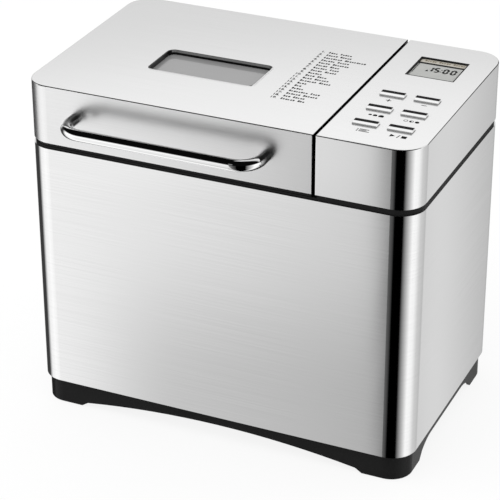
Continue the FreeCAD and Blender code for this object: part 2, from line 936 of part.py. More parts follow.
def control_housing():
    """Moulded box of the control section: seam band, walls, and a shelf with bosses for the board."""
    part = new_part("control_housing", BODY)
    inner = housing_inset + s.housing_wall
    square = s.edge_radius
    band = control_loop(s.seam_inset, square)
    pad(part, "XY", deck_top, lid_bottom, band, control_loop(s.housing_band, square))
    wall = control_loop(housing_inset, square)
    pad(part, "XY", lid_bottom, top - s.housing_drop, wall, control_loop(inner, square))
    wire_x = (control_left + half_width) / 2
    wires = disc(wire_x, ZERO, s.gland_flange)
    pad(part, "XY", shelf_under, shelf_top, control_loop(inner - s.housing_wall / 2, square), wires)
    pad(part, "XY", lid_bottom, lid_bottom + s.housing_wall, wall, control_loop(s.housing_band, square))
    pad(part, "XY", shelf_top, board_under, *[disc(x, y, s.board_post) for x, y in board_screws])


def control_cover():
    """Brushed steel cover of the control section with openings for the display and the buttons."""
    part = new_part("control_cover", BODY)
    pad(part, "XY", lid_bottom, top, control_loop(ZERO, s.edge_radius))
    cut(part, "XY", lid_bottom, skin_under, control_loop(s.sheet, s.edge_radius))
    half_x = s.display_width / 2
    half_y = s.display_depth / 2
    window = box(display_x - half_x, display_x + half_x, display_y - half_y, display_y + half_y)
    reach = s.button_length / 2 + s.button_gap
    depth = s.button_depth / 2 + s.button_gap
    openings = [box(x - reach, x + reach, y - depth, y + depth) for x, y in button_places]
    softened(part, s.edge_radius, outer_top_edge(control_left, half_width))
    cut(part, "XY", skin_under - s.sheet, top, window, *openings)


def outer_top_edge(left, right):
    """A test for the edges round the top of a cover that spans left to right."""
    flat = at_level(top)

    def wanted(edge):
        box_of = edge.BoundBox
        outside = (
            box_of.XMin < left.value + s.corner_radius.value
            or box_of.XMax > right.value - s.corner_radius.value
            or abs(box_of.YMin) > half_depth.value - s.corner_radius.value
        )
        return flat(edge) and outside

    return wanted


def display_bezel():
    """Dark frame that lines the display's opening and holds the lens under the cover."""
    part = new_part("display_bezel", (display_x, body_y + display_y, ZERO))
    outer_x = s.display_width / 2 - s.skin_clearance
    outer_y = s.display_depth / 2 - s.skin_clearance
    wall = s.bezel_wall
    hole = box(wall - outer_x, outer_x - wall, wall - outer_y, outer_y - wall)
    pad(part, "XY", lens_top, top, box(-outer_x, outer_x, -outer_y, outer_y), hole)
    wide_x = s.display_width / 2 + s.bezel_flange
    wide_y = s.display_depth / 2 + s.bezel_flange
    flange = box(-wide_x, wide_x, -wide_y, wide_y)
    pad(part, "XY", lens_top, skin_under, flange, hole)


def display_lens():
    """Clear pane under the bezel."""
    part = new_part("display_lens", (display_x, body_y + display_y, ZERO))
    half_x = s.display_width / 2
    half_y = s.display_depth / 2
    pad(part, "XY", lens_top - s.lens_thickness, lens_top, box(-half_x, half_x, -half_y, half_y))


def display_module():
    """Liquid crystal block on the control board, up to the lens."""
    part = new_part("display_module", (display_x, body_y + display_y, ZERO))
    half_x = s.display_width / 2 - s.bezel_wall
    half_y = s.display_depth / 2 - s.bezel_wall
    pad(part, "XY", board_top, lens_top - s.lens_thickness, box(-half_x, half_x, -half_y, half_y))


def control_board():
    """Circuit board that carries the display and the six switches."""
    part = new_part("control_board", BODY)
    holes = [disc(x, y, screw_hole) for x, y in board_screws]
    pad(part, "XY", board_under, board_top, box(board_left, board_right, -board_half_y, board_half_y), *holes)


def button_switches():
    """Six push switches on the board, each with a bore for its button's stem."""
    part = new_part("button_switches", BODY)
    half = s.switch_width / 2
    for x, y in button_places:
        case = box(x - half, x + half, y - half, y + half)
        pad(part, "XY", board_top, switch_top, case, disc(x, y, s.switch_bore))


def push_button(label, place):
    """One chrome button: a bar with a pitched top, a flange under the cover and a stem."""
    part = new_part(label, (place[0], body_y + place[1], ZERO))
    half_x = s.button_length / 2
    half_y = s.button_depth / 2
    flange_top = skin_under - s.rest_gap
    ridge = top + s.button_rise
    profile = outline(
        (-half_y, flange_top),
        (half_y, flange_top),
        (half_y, top + s.button_back_rise),
        (s.button_top_back, ridge),
        (-s.button_top_front, ridge),
        (-half_y, top + s.button_front_rise),
    )
    pad(part, "YZ", -half_x, half_x, profile)
    wide_x = half_x + s.button_flange
    wide_y = half_y + s.button_flange
    flange_under = flange_top - s.button_flange_thickness
    pad(part, "XY", flange_under, flange_top, box(-wide_x, wide_x, -wide_y, wide_y))
    pad(part, "XY", switch_top - s.switch_engagement, flange_under, disc(ZERO, ZERO, s.button_stem))
    base = part.Tip
    base.recompute(True)
    ends = [
        f"Edge{number}"
        for number, edge in enumerate(base.Shape.Edges, start=1)
        if edge.BoundBox.ZMin > top.value
        and edge.BoundBox.XLength < edge.BoundBox.YLength
        and abs(abs(edge.BoundBox.XMin) - half_x.value) < s.rest_gap.value
    ]
    chamfer = part.newObject("PartDesign::Chamfer", "Ends")
    chamfer.Base = (base, ends)
    chamfer.setExpression("Size", s.button_end_chamfer.text)


def lid_skin():
    """Brushed steel lid cover with the window's opening, handle holes and notches for the hinge ears."""
    part = new_part("lid_skin", BODY)
    pad(part, "XY", lid_bottom, top, lid_loop(ZERO, s.edge_radius))
    cut(part, "XY", lid_bottom, skin_under, lid_loop(s.sheet, s.edge_radius))
    softened(part, s.edge_radius, outer_top_edge(-half_width, lid_right))
    cut(part, "XY", skin_under - s.sheet, top, window_loop(ZERO))
    cut(part, "XZ", rear_face - s.sheet, half_depth + s.sheet, *hinge_notches())
    front_holes = [disc(x, handle_z, screw_hole) for x in handle_ends]
    cut(part, "XZ", -half_depth - s.sheet, -rear_face + s.sheet, *front_holes)


def window_loop(grow):
    """The lid window's opening, grown outwards."""
    half_x = s.window_width / 2 + grow
    half_y = s.window_depth / 2 + grow
    left = window_x - half_x
    right = window_x + half_x
    return rounded(left, right, window_y - half_y, window_y + half_y, s.window_radius + grow)


def hinge_notches():
    """Openings in the lid's rear wall where the deck's ears stand."""
    gap = s.hinge_notch_gap
    notches = []
    for center in hinge_centers:
        for near, far in ((center - ear_far, center - ear_near), (center + ear_near, center + ear_far)):
            notches.append(box(near - gap, far + s.hinge_side_gap, lip_bottom, notch_top))
    return notches


def lid_frame():
    """Moulded frame inside the lid: seam lip, walls, rear rib and the hinge knuckles."""
    part = new_part("lid_frame", BODY)
    inner = housing_inset + s.frame_wall
    square = s.edge_radius
    pad(part, "XY", lip_bottom, lid_bottom, lid_loop(s.seam_inset, square), lid_oven_loop(s.liner_margin))
    relief = half_depth - s.frame_relief
    cut(part, "XY", lip_bottom, lid_bottom, box(-half_width, lid_right, relief, half_depth))
    wall_top = lid_bottom + s.frame_wall_height
    pad(part, "XY", lid_bottom, wall_top, lid_loop(housing_inset, square), lid_loop(inner, square))
    rib_front = chamber_half_y + s.liner_margin + s.liner_flange + s.rest_gap
    rib_left = s.corner_radius - half_width
    rib = box(rib_left, lid_right - inner, rib_front, half_depth - inner + s.frame_wall / 2)
    pad(part, "XY", lid_bottom, lid_bottom + s.frame_rib, rib)
    groove_low = s.liner_margin + s.seal_offset
    groove = [lid_oven_loop(groove_low + s.seal_width), lid_oven_loop(groove_low)]
    cut(part, "XY", lip_bottom, lip_bottom + s.seal_depth, *groove)
    cut(part, "XZ", relief - s.frame_wall, half_depth, *hinge_notches())
    half = s.hinge_knuckle / 2
    for center in hinge_centers:
        pad(part, "YZ", center - half, center + half, disc(hinge_y, hinge_z, s.hinge_radius * 2))
        bore = s.hinge_pin + s.fit_clearance * 2
        cut(part, "YZ", center - half, center + half, disc(hinge_y, hinge_z, bore))
    front_holes = [disc(x, handle_z, screw_hole) for x in handle_ends]
    cut(part, "XZ", -half_depth, inner - half_depth, *front_holes)
    liner_holes = [disc(x, y, screw_hole) for x, y in liner_screws]
    cut(part, "XY", lip_bottom + s.seal_depth, lid_bottom, *liner_holes)


def lid_liner():
    """Pressed metal liner: a shallow dome over the oven with an opening under the window."""
    part = new_part("lid_liner", BODY)
    edge = s.liner_margin
    pad(part, "XY", lid_bottom, liner_top, lid_oven_loop(edge + s.sheet))
    pad(part, "XY", lid_bottom, lid_bottom + s.sheet, lid_oven_loop(edge + s.liner_flange))
    cut(part, "XY", lid_bottom, liner_under, lid_oven_loop(edge))
    cut(part, "XY", liner_under, liner_top, window_loop(-s.gasket_inset))
    cut(part, "XY", lid_bottom, lid_bottom + s.sheet, *[disc(x, y, screw_hole) for x, y in liner_screws])


def window_trim():
    """Bright ring that lines the window's opening and presses on the glass."""
    part = new_part("window_trim", BODY)
    hole = window_loop(-s.skin_clearance - s.trim_wall)
    pad(part, "XY", glass_top, top, window_loop(-s.skin_clearance), hole)
    pad(part, "XY", skin_under - s.trim_flange_thickness, skin_under, window_loop(s.trim_flange), hole)


def window_glass():
    """Flat pane under the trim."""
    part = new_part("window_glass", BODY)
    pad(part, "XY", glass_under, glass_top, window_loop(s.glass_overlap))


def window_gasket():
    """Silicone ring that carries the glass on the liner."""
    part = new_part("window_gasket", BODY)
    pad(part, "XY", liner_top, glass_under, window_loop(s.glass_overlap), window_loop(-s.gasket_inset))


def lid_seal():
    """Silicone seal in the lip's groove, just clear of the deck."""
    part = new_part("lid_seal", BODY)
    low = s.liner_margin + s.seal_offset
    high = lip_bottom + s.seal_depth
    pad(part, "XY", deck_top + s.rest_gap, high, lid_oven_loop(low + s.seal_width), lid_oven_loop(low))


def lid_handle():
    """Chrome bar handle, bent back to the lid's front face at both ends."""
    part = new_part("lid_handle", BODY)
    face = -half_depth
    bar = face - s.handle_standoff
    bend = s.handle_bend
    path = outline(
        (handle_left, face),
        (handle_left, bar + bend, bend),
        (handle_left + bend, bar),
        (handle_right - bend, bar, bend),
        (handle_right, bar + bend),
        (handle_right, face),
        closed=False,
    )
    tube(part, handle_z, path, "XZ", face, disc(handle_left, handle_z, s.handle_tube))
    cut(part, "XZ", face - s.handle_bore_depth, face, *[disc(x, handle_z, s.screw) for x in handle_ends])


def lid_screws():
    """Screws through the lid's front wall into the handle, and through the liner's flange into the frame."""
    part = new_part("lid_screws", BODY)
    wall = housing_inset + s.frame_wall - half_depth
    tip = -half_depth - s.screw_length
    heads = [disc(x, handle_z, s.screw_head) for x in handle_ends]
    pad(part, "XZ", wall, wall + s.screw_head_height, *heads)
    pad(part, "XZ", tip, wall, *[disc(x, handle_z, s.screw) for x in handle_ends])
    seat = lid_bottom + s.sheet
    pad(part, "XY", seat, seat + s.screw_head_height, *[disc(x, y, s.screw_head) for x, y in liner_screws])
    pad(part, "XY", lip_bottom + s.seal_depth, seat, *[disc(x, y, s.screw) for x, y in liner_screws])
    handle_screws = [(x, handle_z) for x in handle_ends]
    wall_head = wall + s.screw_head_height
    cross_recess(part, "XZ", wall_head - s.drive_slot_depth, wall_head, handle_screws)
    liner_head = seat + s.screw_head_height
    cross_recess(part, "XY", liner_head - s.drive_slot_depth, liner_head, liner_screws)


def baking_chamber():
    """Pressed steel oven box, hung from the deck by its flange."""
    part = new_part("baking_chamber", OVEN)
    pad(part, "XY", chamber_under, shell_top, oven_loop(s.sheet))
    pad(part, "XY", shell_top - s.sheet, shell_top, oven_loop(s.chamber_flange))
    cut(part, "XY", chamber_floor, shell_top, oven_loop(ZERO))
    cut(part, "XY", chamber_under, chamber_floor, disc(ZERO, ZERO, s.floor_hole))
    leg_hole = s.heater_tube + s.screw_clearance
    wall_holes = [disc(y, heater_z, leg_hole) for y in (-s.heater_leg, s.heater_leg)]
    wall_holes.append(disc(s.sensor_y, chamber_floor + s.sensor_rise, s.sensor + s.screw_clearance))
    cut(part, "YZ", chamber_half_x - s.sheet, chamber_half_x + s.sheet, *wall_holes)


def heating_element():
    """Bent tubular element low in the oven. Its two legs leave through the right wall."""
    part = new_part("heating_element", OVEN)
    tail = chamber_half_x + s.sheet + s.heater_tail
    leg = s.heater_leg
    turn = s.heater_leg_bend
    bend = s.heater_corner
    path = outline(
        (tail, -leg),
        (heater_x + turn, -leg, turn),
        (heater_x, -leg - turn),
        (heater_x, bend - heater_y, bend, -1),
        (heater_x - bend, -heater_y),
        (bend - heater_x, -heater_y, bend, -1),
        (-heater_x, bend - heater_y),
        (-heater_x, heater_y - bend, bend, -1),
        (bend - heater_x, heater_y),
        (heater_x - bend, heater_y, bend, -1),
        (heater_x, heater_y - bend),
        (heater_x, leg + turn, turn),
        (heater_x + turn, leg),
        (tail, leg),
        closed=False,
    )
    tube(part, heater_z, path, "YZ", tail, disc(-leg, heater_z, s.heater_tube))


def heater_clips():
    """Brackets on the oven's walls that the element lies on."""
    part = new_part("heater_clips", OVEN)
    high = heater_z - s.heater_tube / 2
    low = high - s.clip_thickness
    half = s.clip_width / 2
    near_y = chamber_half_y - s.clip_reach
    near_x = chamber_half_x - s.clip_reach
    middle = heater_x / 2
    for x in (-middle, middle):
        pad(part, "XY", low, high, box(x - half, x + half, -chamber_half_y, -near_y))
        pad(part, "XY", low, high, box(x - half, x + half, near_y, chamber_half_y))
    pad(part, "XY", low, high, box(-chamber_half_x, -near_x, -half, half))


def temperature_sensor():
    """Probe through the oven's right wall, with its flange outside."""
    part = new_part("temperature_sensor", OVEN)
    z = chamber_floor + s.sensor_rise
    wall = chamber_half_x + s.sheet
    pad(part, "YZ", chamber_half_x - s.sensor_reach, wall + s.sensor_tail, disc(s.sensor_y, z, s.sensor))
    pad(part, "YZ", wall, wall + s.clip_thickness, disc(s.sensor_y, z, s.sensor_flange))


def thermal_cutout():
    """Safety thermostat on the outside of the oven's right wall."""
    part = new_part("thermal_cutout", OVEN)
    wall = chamber_half_x + s.sheet
    z = chamber_floor + s.cutout_rise
    pad(part, "YZ", wall, wall + s.cutout_thickness, disc(ZERO, z, s.cutout))


def pan_seat():
    """Bayonet ring on the oven floor. Its hooks hold the pan's lugs down."""
    part = new_part("pan_seat", OVEN)
    bore = s.seat_bore / 2
    outer = bore + s.seat_wall
    seat_top = chamber_floor + s.seat_height
    flange_top = chamber_floor + s.seat_flange_thickness
    turned(
        part,
        (bore, chamber_floor),
        (outer + s.seat_flange, chamber_floor),
        (outer + s.seat_flange, flange_top),
        (outer, flange_top),
        (outer, seat_top),
        (bore, seat_top),
    )
    half = s.hook_width / 2
    hook = pad(
        part,
        "XY",
        seat_top - s.hook_thickness,
        seat_top,
        box(bore - s.hook_reach, bore + s.seat_wall / 2, -half, half),
    )
    spun(part, hook, s.lug_count)


def bread_pan():
    """Tapered pan with a rolled rim, two bail ears and a hole for the shaft's bush."""
    part = new_part("bread_pan", OVEN)
    floor_x = pan_half_x - s.pan_draft
    floor_y = pan_half_y - s.pan_draft
    wall = s.pan_wall
    foot = around(floor_x, floor_y, s.pan_floor_radius)
    rim_outside = around(pan_half_x, pan_half_y, s.pan_rim_radius)
    lofted("PartDesign::AdditiveLoft", part, pan_under, foot, pan_rim_z, rim_outside)
    rim = s.pan_rim
    rim_loop = around(pan_half_x + rim, pan_half_y + rim, s.pan_rim_radius + rim)
    pad(part, "XY", pan_rim_z - s.pan_rim_height, pan_rim_z, rim_loop)
    ear_low = pan_rim_z - s.ear_height
    ear = box(-s.ear_width / 2, s.ear_width / 2, ear_low, pan_rim_z - s.pan_rim_height / 2)
    ear_out = pan_half_x + s.ear_reach
    ear_in = pan_half_x - s.ear_reach
    pad(part, "YZ", -ear_out, -ear_in, ear)
    pad(part, "YZ", ear_in, ear_out, ear)
    inside_low = pan_under + s.pan_floor
    inside = around(floor_x - wall, floor_y - wall, s.pan_floor_radius - wall)
    mouth = around(pan_half_x - wall, pan_half_y - wall, s.pan_rim_radius - wall)
    lofted("PartDesign::SubtractiveLoft", part, inside_low, inside, pan_rim_z, mouth)
    cut(part, "XY", pan_under, inside_low, disc(ZERO, ZERO, s.bush))
    pin_hole = disc(ZERO, bail_pivot_z, s.bail_wire + s.fit_clearance * 2)
    pin_in = ear_out - s.bail_pin
    cut(part, "YZ", -ear_out, -pin_in, pin_hole)
    cut(part, "YZ", pin_in, ear_out, pin_hole)


def pan_base_ring():
    """Ring under the pan with the bayonet lugs that turn under the seat's hooks."""
    part = new_part("pan_base_ring", OVEN)
    outer = s.seat_bore / 2 - s.ring_gap
    inner = outer - s.ring_wall
    low = chamber_floor + s.rest_gap
    flange_under = pan_under - s.seat_flange_thickness
    turned(
        part,
        (inner, low),
        (outer, low),
        (outer, flange_under),
        (outer + s.ring_flange, flange_under),
        (outer + s.ring_flange, pan_under),
        (inner, pan_under),
    )
    half = s.hook_width / 2
    lug_top = chamber_floor + s.seat_height - s.hook_thickness - s.lug_gap
    reach = s.seat_bore / 2 - s.lug_gap
    lug_loop = box(inner + s.ring_wall / 2, reach, -half, half)
    lug = pad(part, "XY", lug_top - s.lug_thickness, lug_top, lug_loop)
    spun(part, lug, s.lug_count)


def pan_bush():
    """Bush clamped in the pan's floor. The pan's shaft turns in it."""
    part = new_part("pan_bush", OVEN)
    bore = s.pan_shaft / 2 + s.fit_clearance
    flange_under = pan_under - s.bush_flange_thickness
    turned(
        part,
        (bore, flange_under - s.bush_drop),
        (s.bush / 2, flange_under - s.bush_drop),
        (s.bush / 2, flange_under),
        (s.bush_flange / 2, flange_under),
        (s.bush_flange / 2, pan_under),
        (s.bush / 2, pan_under),
        (s.bush / 2, bush_top),
        (bore, bush_top),
    )


def pan_shaft_seal():
    """Lip seal on top of the bush."""
    part = new_part("pan_shaft_seal", OVEN)
    bore = s.pan_shaft + s.fit_clearance * 2
    pad(part, "XY", bush_top, seal_top, disc(ZERO, ZERO, s.shaft_seal), disc(ZERO, ZERO, bore))


def pan_bail():
    """Wire bail hinged in the pan's ears. It lies forward on the rim and swings over to the rear rim."""
    part = new_part("pan_bail", (lid_center, body_y, bail_pivot_z))
    tilt = math.degrees(math.asin(bail_rise.value / s.bail_leg.value))
    part.Placement.Rotation = FreeCAD.Rotation(V(-1, 0, 0), tilt)
    part.setExpression("Placement.Rotation.Angle", f"asin({bail_rise.text} / {s.bail_leg.text})")
    ear_out = pan_half_x + s.ear_reach
    start = ear_out - s.bail_pin + s.rest_gap
    leg = ear_out + s.bail_side_gap + s.bail_root_bend
    root = s.bail_root_bend
    bend = s.bail_bend
    path = outline(
        (start, ZERO),
        (leg - root, ZERO, root, -1),
        (leg, -root),
        (leg, bend - s.bail_leg, bend, -1),
        (leg - bend, -s.bail_leg),
        (bend - leg, -s.bail_leg, bend, -1),
        (-leg, bend - s.bail_leg),
        (-leg, -root, root, -1),
        (root - leg, ZERO),
        (-start, ZERO),
        closed=False,
    )
    tube(part, ZERO, path, "YZ", start, disc(ZERO, ZERO, s.bail_wire))


def pan_shaft():
    """Shaft through the pan's floor, from the dog below to the paddle above."""
    part = new_part("pan_shaft", OVEN)
    pad(part, "XY", pan_dog_under, shaft_top, disc(ZERO, ZERO, s.pan_shaft))


def pan_dog():
    """Winged coupling on the lower end of the pan's shaft."""
    part = new_part("pan_dog", OVEN)
    bore = disc(ZERO, ZERO, s.pan_shaft)
    half_x = s.dog_bar / 2
    half_y = s.dog_bar_width / 2
    pad(part, "XY", pan_dog_under, pan_dog_top, disc(ZERO, ZERO, s.dog_hub))
    pad(part, "XY", pan_dog_under, pan_dog_top, box(-half_x, half_x, -half_y, half_y))
    cut(part, "XY", pan_dog_under, pan_dog_top, bore)


def kneading_paddle():
    """Paddle that lifts off the pan's shaft: a hub with one swept blade."""
    part = new_part("kneading_paddle", OVEN)
    half = s.paddle_thickness / 2
    radius = s.paddle_tip_radius
    blade_top = paddle_under + s.paddle_height
    blade = outline(
        (ZERO, paddle_under),
        (s.paddle_reach, paddle_under),
        (s.paddle_reach, blade_top - radius, radius),
        (s.paddle_reach - radius, blade_top),
        (ZERO, blade_top),
    )
    pad(part, "XY", paddle_under, shaft_top, disc(ZERO, ZERO, s.paddle_hub))
    pad(part, "XZ", -half, half, blade)
    cut(part, "XY", paddle_under, shaft_top, disc(ZERO, ZERO, s.pan_shaft))


def drive_dog():
    """Driving coupling on top of the drive shaft: a disc with two prongs against the pan dog's wings."""
    part = new_part("drive_dog", OVEN)
    low = dog_disc_top - s.dog_disc_thickness
    pad(part, "XY", low, dog_disc_top, disc(ZERO, ZERO, s.dog_disc))
    near = s.dog_bar_width / 2
    far = near + s.dog_prong
    inner = s.dog_prong_offset
    outer = inner + s.dog_prong
    prongs = [box(inner, outer, near, far), box(-outer, -inner, -far, -near)]
    pad(part, "XY", dog_disc_top, pan_dog_top, *prongs)


def drive_shaft():
    """Vertical shaft from the large pulley up through the bearing to the driving dog."""
    part = new_part("drive_shaft", OVEN)
    low = chassis_under - s.drive_shaft_tail
    pad(part, "XY", low, dog_disc_top - s.dog_disc_thickness, disc(ZERO, ZERO, s.drive_shaft))


def drive_pulley():
    """Large belt pulley on the drive shaft with lightening holes in its web."""
    part = new_part("drive_pulley", OVEN)
    rim = s.drive_pulley / 2
    inner = rim - s.pulley_rim
    hub = s.pulley_hub / 2
    middle = (pulley_top + pulley_under) / 2
    web_low = middle - s.pulley_web / 2
    web_high = middle + s.pulley_web / 2
    shaft = s.drive_shaft / 2
    turned(
        part,
        (shaft, pulley_under),
        (hub, pulley_under),
        (hub, web_low),
        (inner, web_low),
        (inner, pulley_under),
        (rim, pulley_under),
        (rim, pulley_top),
        (inner, pulley_top),
        (inner, web_high),
        (hub, web_high),
        (hub, pulley_top),
        (shaft, pulley_top),
    )
    hole = cut(part, "XY", web_low, web_high, disc((hub + inner) / 2, ZERO, s.pulley_hole))
    spun(part, hole, s.pulley_hole_count)


def bearing_housing():
    """Cast housing on the chassis plate that holds both bushes and carries the oven floor."""
    part = new_part("bearing_housing", OVEN)
    bore = s.bearing_bore / 2
    flange_top = chassis_top + s.bearing_flange_thickness
    turned(
        part,
        (bore, chassis_top),
        (s.bearing_flange / 2, chassis_top),
        (s.bearing_flange / 2, flange_top),
        (s.bearing_barrel / 2, flange_top),
        (s.bearing_barrel / 2, chamber_under),
        (bore, chamber_under),
    )


def bearing_bushes():
    """Two sintered bushes for the drive shaft."""
    part = new_part("bearing_bushes", OVEN)
    bore = s.drive_shaft + s.fit_clearance * 2
    ring = [disc(ZERO, ZERO, s.bearing_bore), disc(ZERO, ZERO, bore)]
    pad(part, "XY", chassis_top, chassis_top + s.bush_length, *ring)
    pad(part, "XY", chamber_under - s.bush_length, chamber_under, *ring)


def chassis_plate():
    """Steel plate on the base's posts that carries the bearing and the motor."""
    part = new_part("chassis_plate", BODY)
    half = s.chassis_depth / 2
    holes = [disc(x, y, screw_hole) for x, y in posts]
    holes.append(disc(lid_center, ZERO, s.shaft_hole))
    holes.append(disc(motor_x, s.motor_y, s.shaft_hole))
    plate = rounded(chassis_left, chassis_right, -half, half, s.chassis_corner)
    pad(part, "XY", chassis_under, chassis_top, plate, *holes)


def chassis_screws():
    """Screws through the chassis plate into the posts, and through the control board into its bosses."""
    part = new_part("chassis_screws", BODY)
    head_top = chassis_top + s.screw_head_height
    pad(part, "XY", chassis_top, head_top, *[disc(x, y, s.screw_head) for x, y in posts])
    pad(part, "XY", chassis_top - s.screw_length, chassis_top, *[disc(x, y, s.screw) for x, y in posts])
    board_head = board_top + s.screw_head_height
    pad(part, "XY", board_top, board_head, *[disc(x, y, s.screw_head) for x, y in board_screws])
    pad(part, "XY", board_under, board_top, *[disc(x, y, s.screw) for x, y in board_screws])
    cross_recess(part, "XY", head_top - s.drive_slot_depth, head_top, posts)
    cross_recess(part, "XY", board_head - s.drive_slot_depth, board_head, board_screws)


def belt_loop(grow):
    """A closed loop of two arcs and the two straight runs that touch both pulleys."""
    reach_x = motor_x - lid_center
    span = math.hypot(reach_x.value, s.motor_y.value)
    heading = math.atan2(s.motor_y.value, reach_x.value)
    large = s.drive_pulley / 2 + s.belt_gap + grow
    small = s.motor_pulley / 2 + s.belt_gap + grow
    lean = math.acos((large.value - small.value) / span)

    def draw(drawing):
        centers = [V(0, 0, 0), V(reach_x.value, s.motor_y.value, 0)]
        spans = [(heading + lean, heading - lean + 2 * math.pi), (heading - lean, heading + lean)]
        arcs = []
        for center, radius, (first, last) in zip(centers, (large, small), spans):
            circle = Part.Circle(center, UP, radius.value)
            arc = drawing.edge(Part.ArcOfCircle(circle, first, last))
            drawing.hold("Radius", arc, radius.value, text=radius.text)
            arcs.append((arc, circle, first, last))
        drawing.pin(arcs[0][0], 3, ZERO, ZERO)
        drawing.pin(arcs[1][0], 3, reach_x, s.motor_y)
        for here, there in ((arcs[0], arcs[1]), (arcs[1], arcs[0])):
            run = Part.LineSegment(here[1].value(here[3]), there[1].value(there[2]))
            line = drawing.edge(run)
            drawing.hold("Tangent", here[0], 2, line, 1)
            drawing.hold("Tangent", line, 2, there[0], 1)

    return draw


def drive_belt():
    """Flat belt from the motor pulley to the large pulley."""
    part = new_part("drive_belt", OVEN)
    pad(part, "XY", belt_under, belt_under + s.belt_width, belt_loop(s.belt_thickness), belt_loop(ZERO))


def motor_pulley():
    """Small belt pulley on the motor's shaft."""
    part = new_part("motor_pulley", MOTOR)
    bore = disc(ZERO, ZERO, s.rotor_shaft)
    pad(part, "XY", pulley_under, pulley_top, disc(ZERO, ZERO, s.motor_pulley), bore)


def motor_rotor():
    """Rotor core on its shaft, from the pulley below to the upper bell."""
    part = new_part("motor_rotor", MOTOR)
    shaft = s.rotor_shaft / 2
    core = s.rotor / 2
    core_low = stack_under + s.rotor_end
    core_high = stack_top - s.rotor_end
    low = pulley_under - s.rotor_end / 2
    high = bell_top + s.rotor_end
    turned(
        part,
        (ZERO, low),
        (shaft, low),
        (shaft, core_low),
        (core, core_low),
        (core, core_high),
        (shaft, core_high),
        (shaft, high),
        (ZERO, high),
    )


def motor_stator():
    """Square stack of laminations round the rotor."""
    part = new_part("motor_stator", MOTOR)
    half = s.motor_stack / 2
    bore = disc(ZERO, ZERO, s.rotor + s.rotor_gap * 2)
    pad(part, "XY", stack_under, stack_top, around(half, half, s.motor_corner), bore)


def motor_end_bells():
    """Lower and upper end bells with the shaft's bearings. The lower one has the mounting plate."""
    part = new_part("motor_end_bells", MOTOR)
    half = s.motor_plate / 2
    bore = disc(ZERO, ZERO, s.rotor_shaft + s.fit_clearance * 2)
    wall = [disc(ZERO, ZERO, s.motor_bell), disc(ZERO, ZERO, s.motor_bell - s.motor_bell_wall * 2)]
    plate_top = bell_under + s.motor_plate_thickness
    pad(part, "XY", bell_under, plate_top, around(half, half, s.motor_corner), bore)
    pad(part, "XY", plate_top, stack_under, *wall)
    pad(part, "XY", stack_top, bell_top - s.motor_plate_thickness, *wall)
    pad(part, "XY", bell_top - s.motor_plate_thickness, bell_top, disc(ZERO, ZERO, s.motor_bell), bore)


def motor_grommets():
    """Four rubber grommets between the motor and the chassis plate."""
    part = new_part("motor_grommets", MOTOR)
    offset = s.motor_plate / 2 - s.grommet_inset
    places = mirrored_pairs(offset, offset)
    pad(part, "XY", chassis_top, bell_under, *[disc(x, y, s.grommet) for x, y in places])


def run_capacitor():
    """The motor's capacitor, on the base's floor at the front right."""
    part = new_part("run_capacitor", BODY)
    half = s.capacitor_length / 2
    front = s.capacitor_front_gap - half_depth
    body = box(motor_x - half, motor_x + half, front, front + s.capacitor_depth)
    pad(part, "XY", base_floor, base_floor + s.capacitor_height, body)


def power_board():
    """Power board on its posts at the rear right, with its transformer and relay."""
    part = new_part("power_board", BODY)
    low = base_floor + s.board_post_height
    high = low + s.board_thickness
    pad(part, "XY", low, high, box(power_left, power_right, power_front, power_rear))
    left = power_left + s.part_gap
    front = power_rear - s.power_post_inset - s.transformer_depth
    transformer = box(left, left + s.transformer_length, front, front + s.transformer_depth)
    pad(part, "XY", high, high + s.transformer_height, transformer)
    right = power_right - s.part_gap * 2
    relay = box(right - s.relay_length, right, front, front + s.relay_depth)
    pad(part, "XY", high, high + s.relay_height, relay)


MAKERS = [
    base_tray, rubber_feet, case_screws, wrap_shell, rear_panel, cord_gland, deck_frame, hinge_pins,
    control_housing, control_cover, display_bezel, display_lens, display_module, control_board,
    button_switches, lid_skin, lid_frame, lid_liner, window_trim, window_glass, window_gasket, lid_seal,
    lid_handle, lid_screws,
    baking_chamber, heating_element, heater_clips, temperature_sensor, thermal_cutout, pan_seat,
    bread_pan, pan_base_ring, pan_bush, pan_shaft_seal, pan_bail, pan_shaft, pan_dog, kneading_paddle,
    drive_dog, drive_shaft, drive_pulley, bearing_housing, bearing_bushes, chassis_plate, chassis_screws,
    drive_belt, motor_pulley, motor_rotor, motor_stator, motor_end_bells, motor_grommets,
    run_capacitor, power_board,
]
for make in MAKERS:
    make()
for label, place in zip(button_names, button_places):
    push_button(label, place)
doc.recompute()

for item in doc.Objects:
    if "Invalid" in item.State or "Error" in item.State:
        raise RuntimeError(f"{item.Name} of {item.Label} failed: {item.State}")
    if item.TypeId == "PartDesign::Pocket" and item.Shape.Volume >= item.BaseFeature.Shape.Volume:
        raise RuntimeError(f"{item.Name} cuts nothing")
for part in parts:
    if part.Shape.isNull() or not part.Shape.isValid():
        raise RuntimeError(f"{part.Label} has no valid shape")

os.makedirs("parts", exist_ok=True)
for part in parts:
    part.Shape.exportStep(f"parts/{part.Label}.step")
print(len(parts), "parts written")
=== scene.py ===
# %% [markdown]
# # A countertop bread machine
# The machine is a brushed steel box on a black plastic base, with a hinged lid, a bar handle, a small
# window, a display and six chrome buttons. The solid model already has every part at its real size.
# This lesson gives each part its finish, adds the printing, and sets up the studio and the camera.

import math

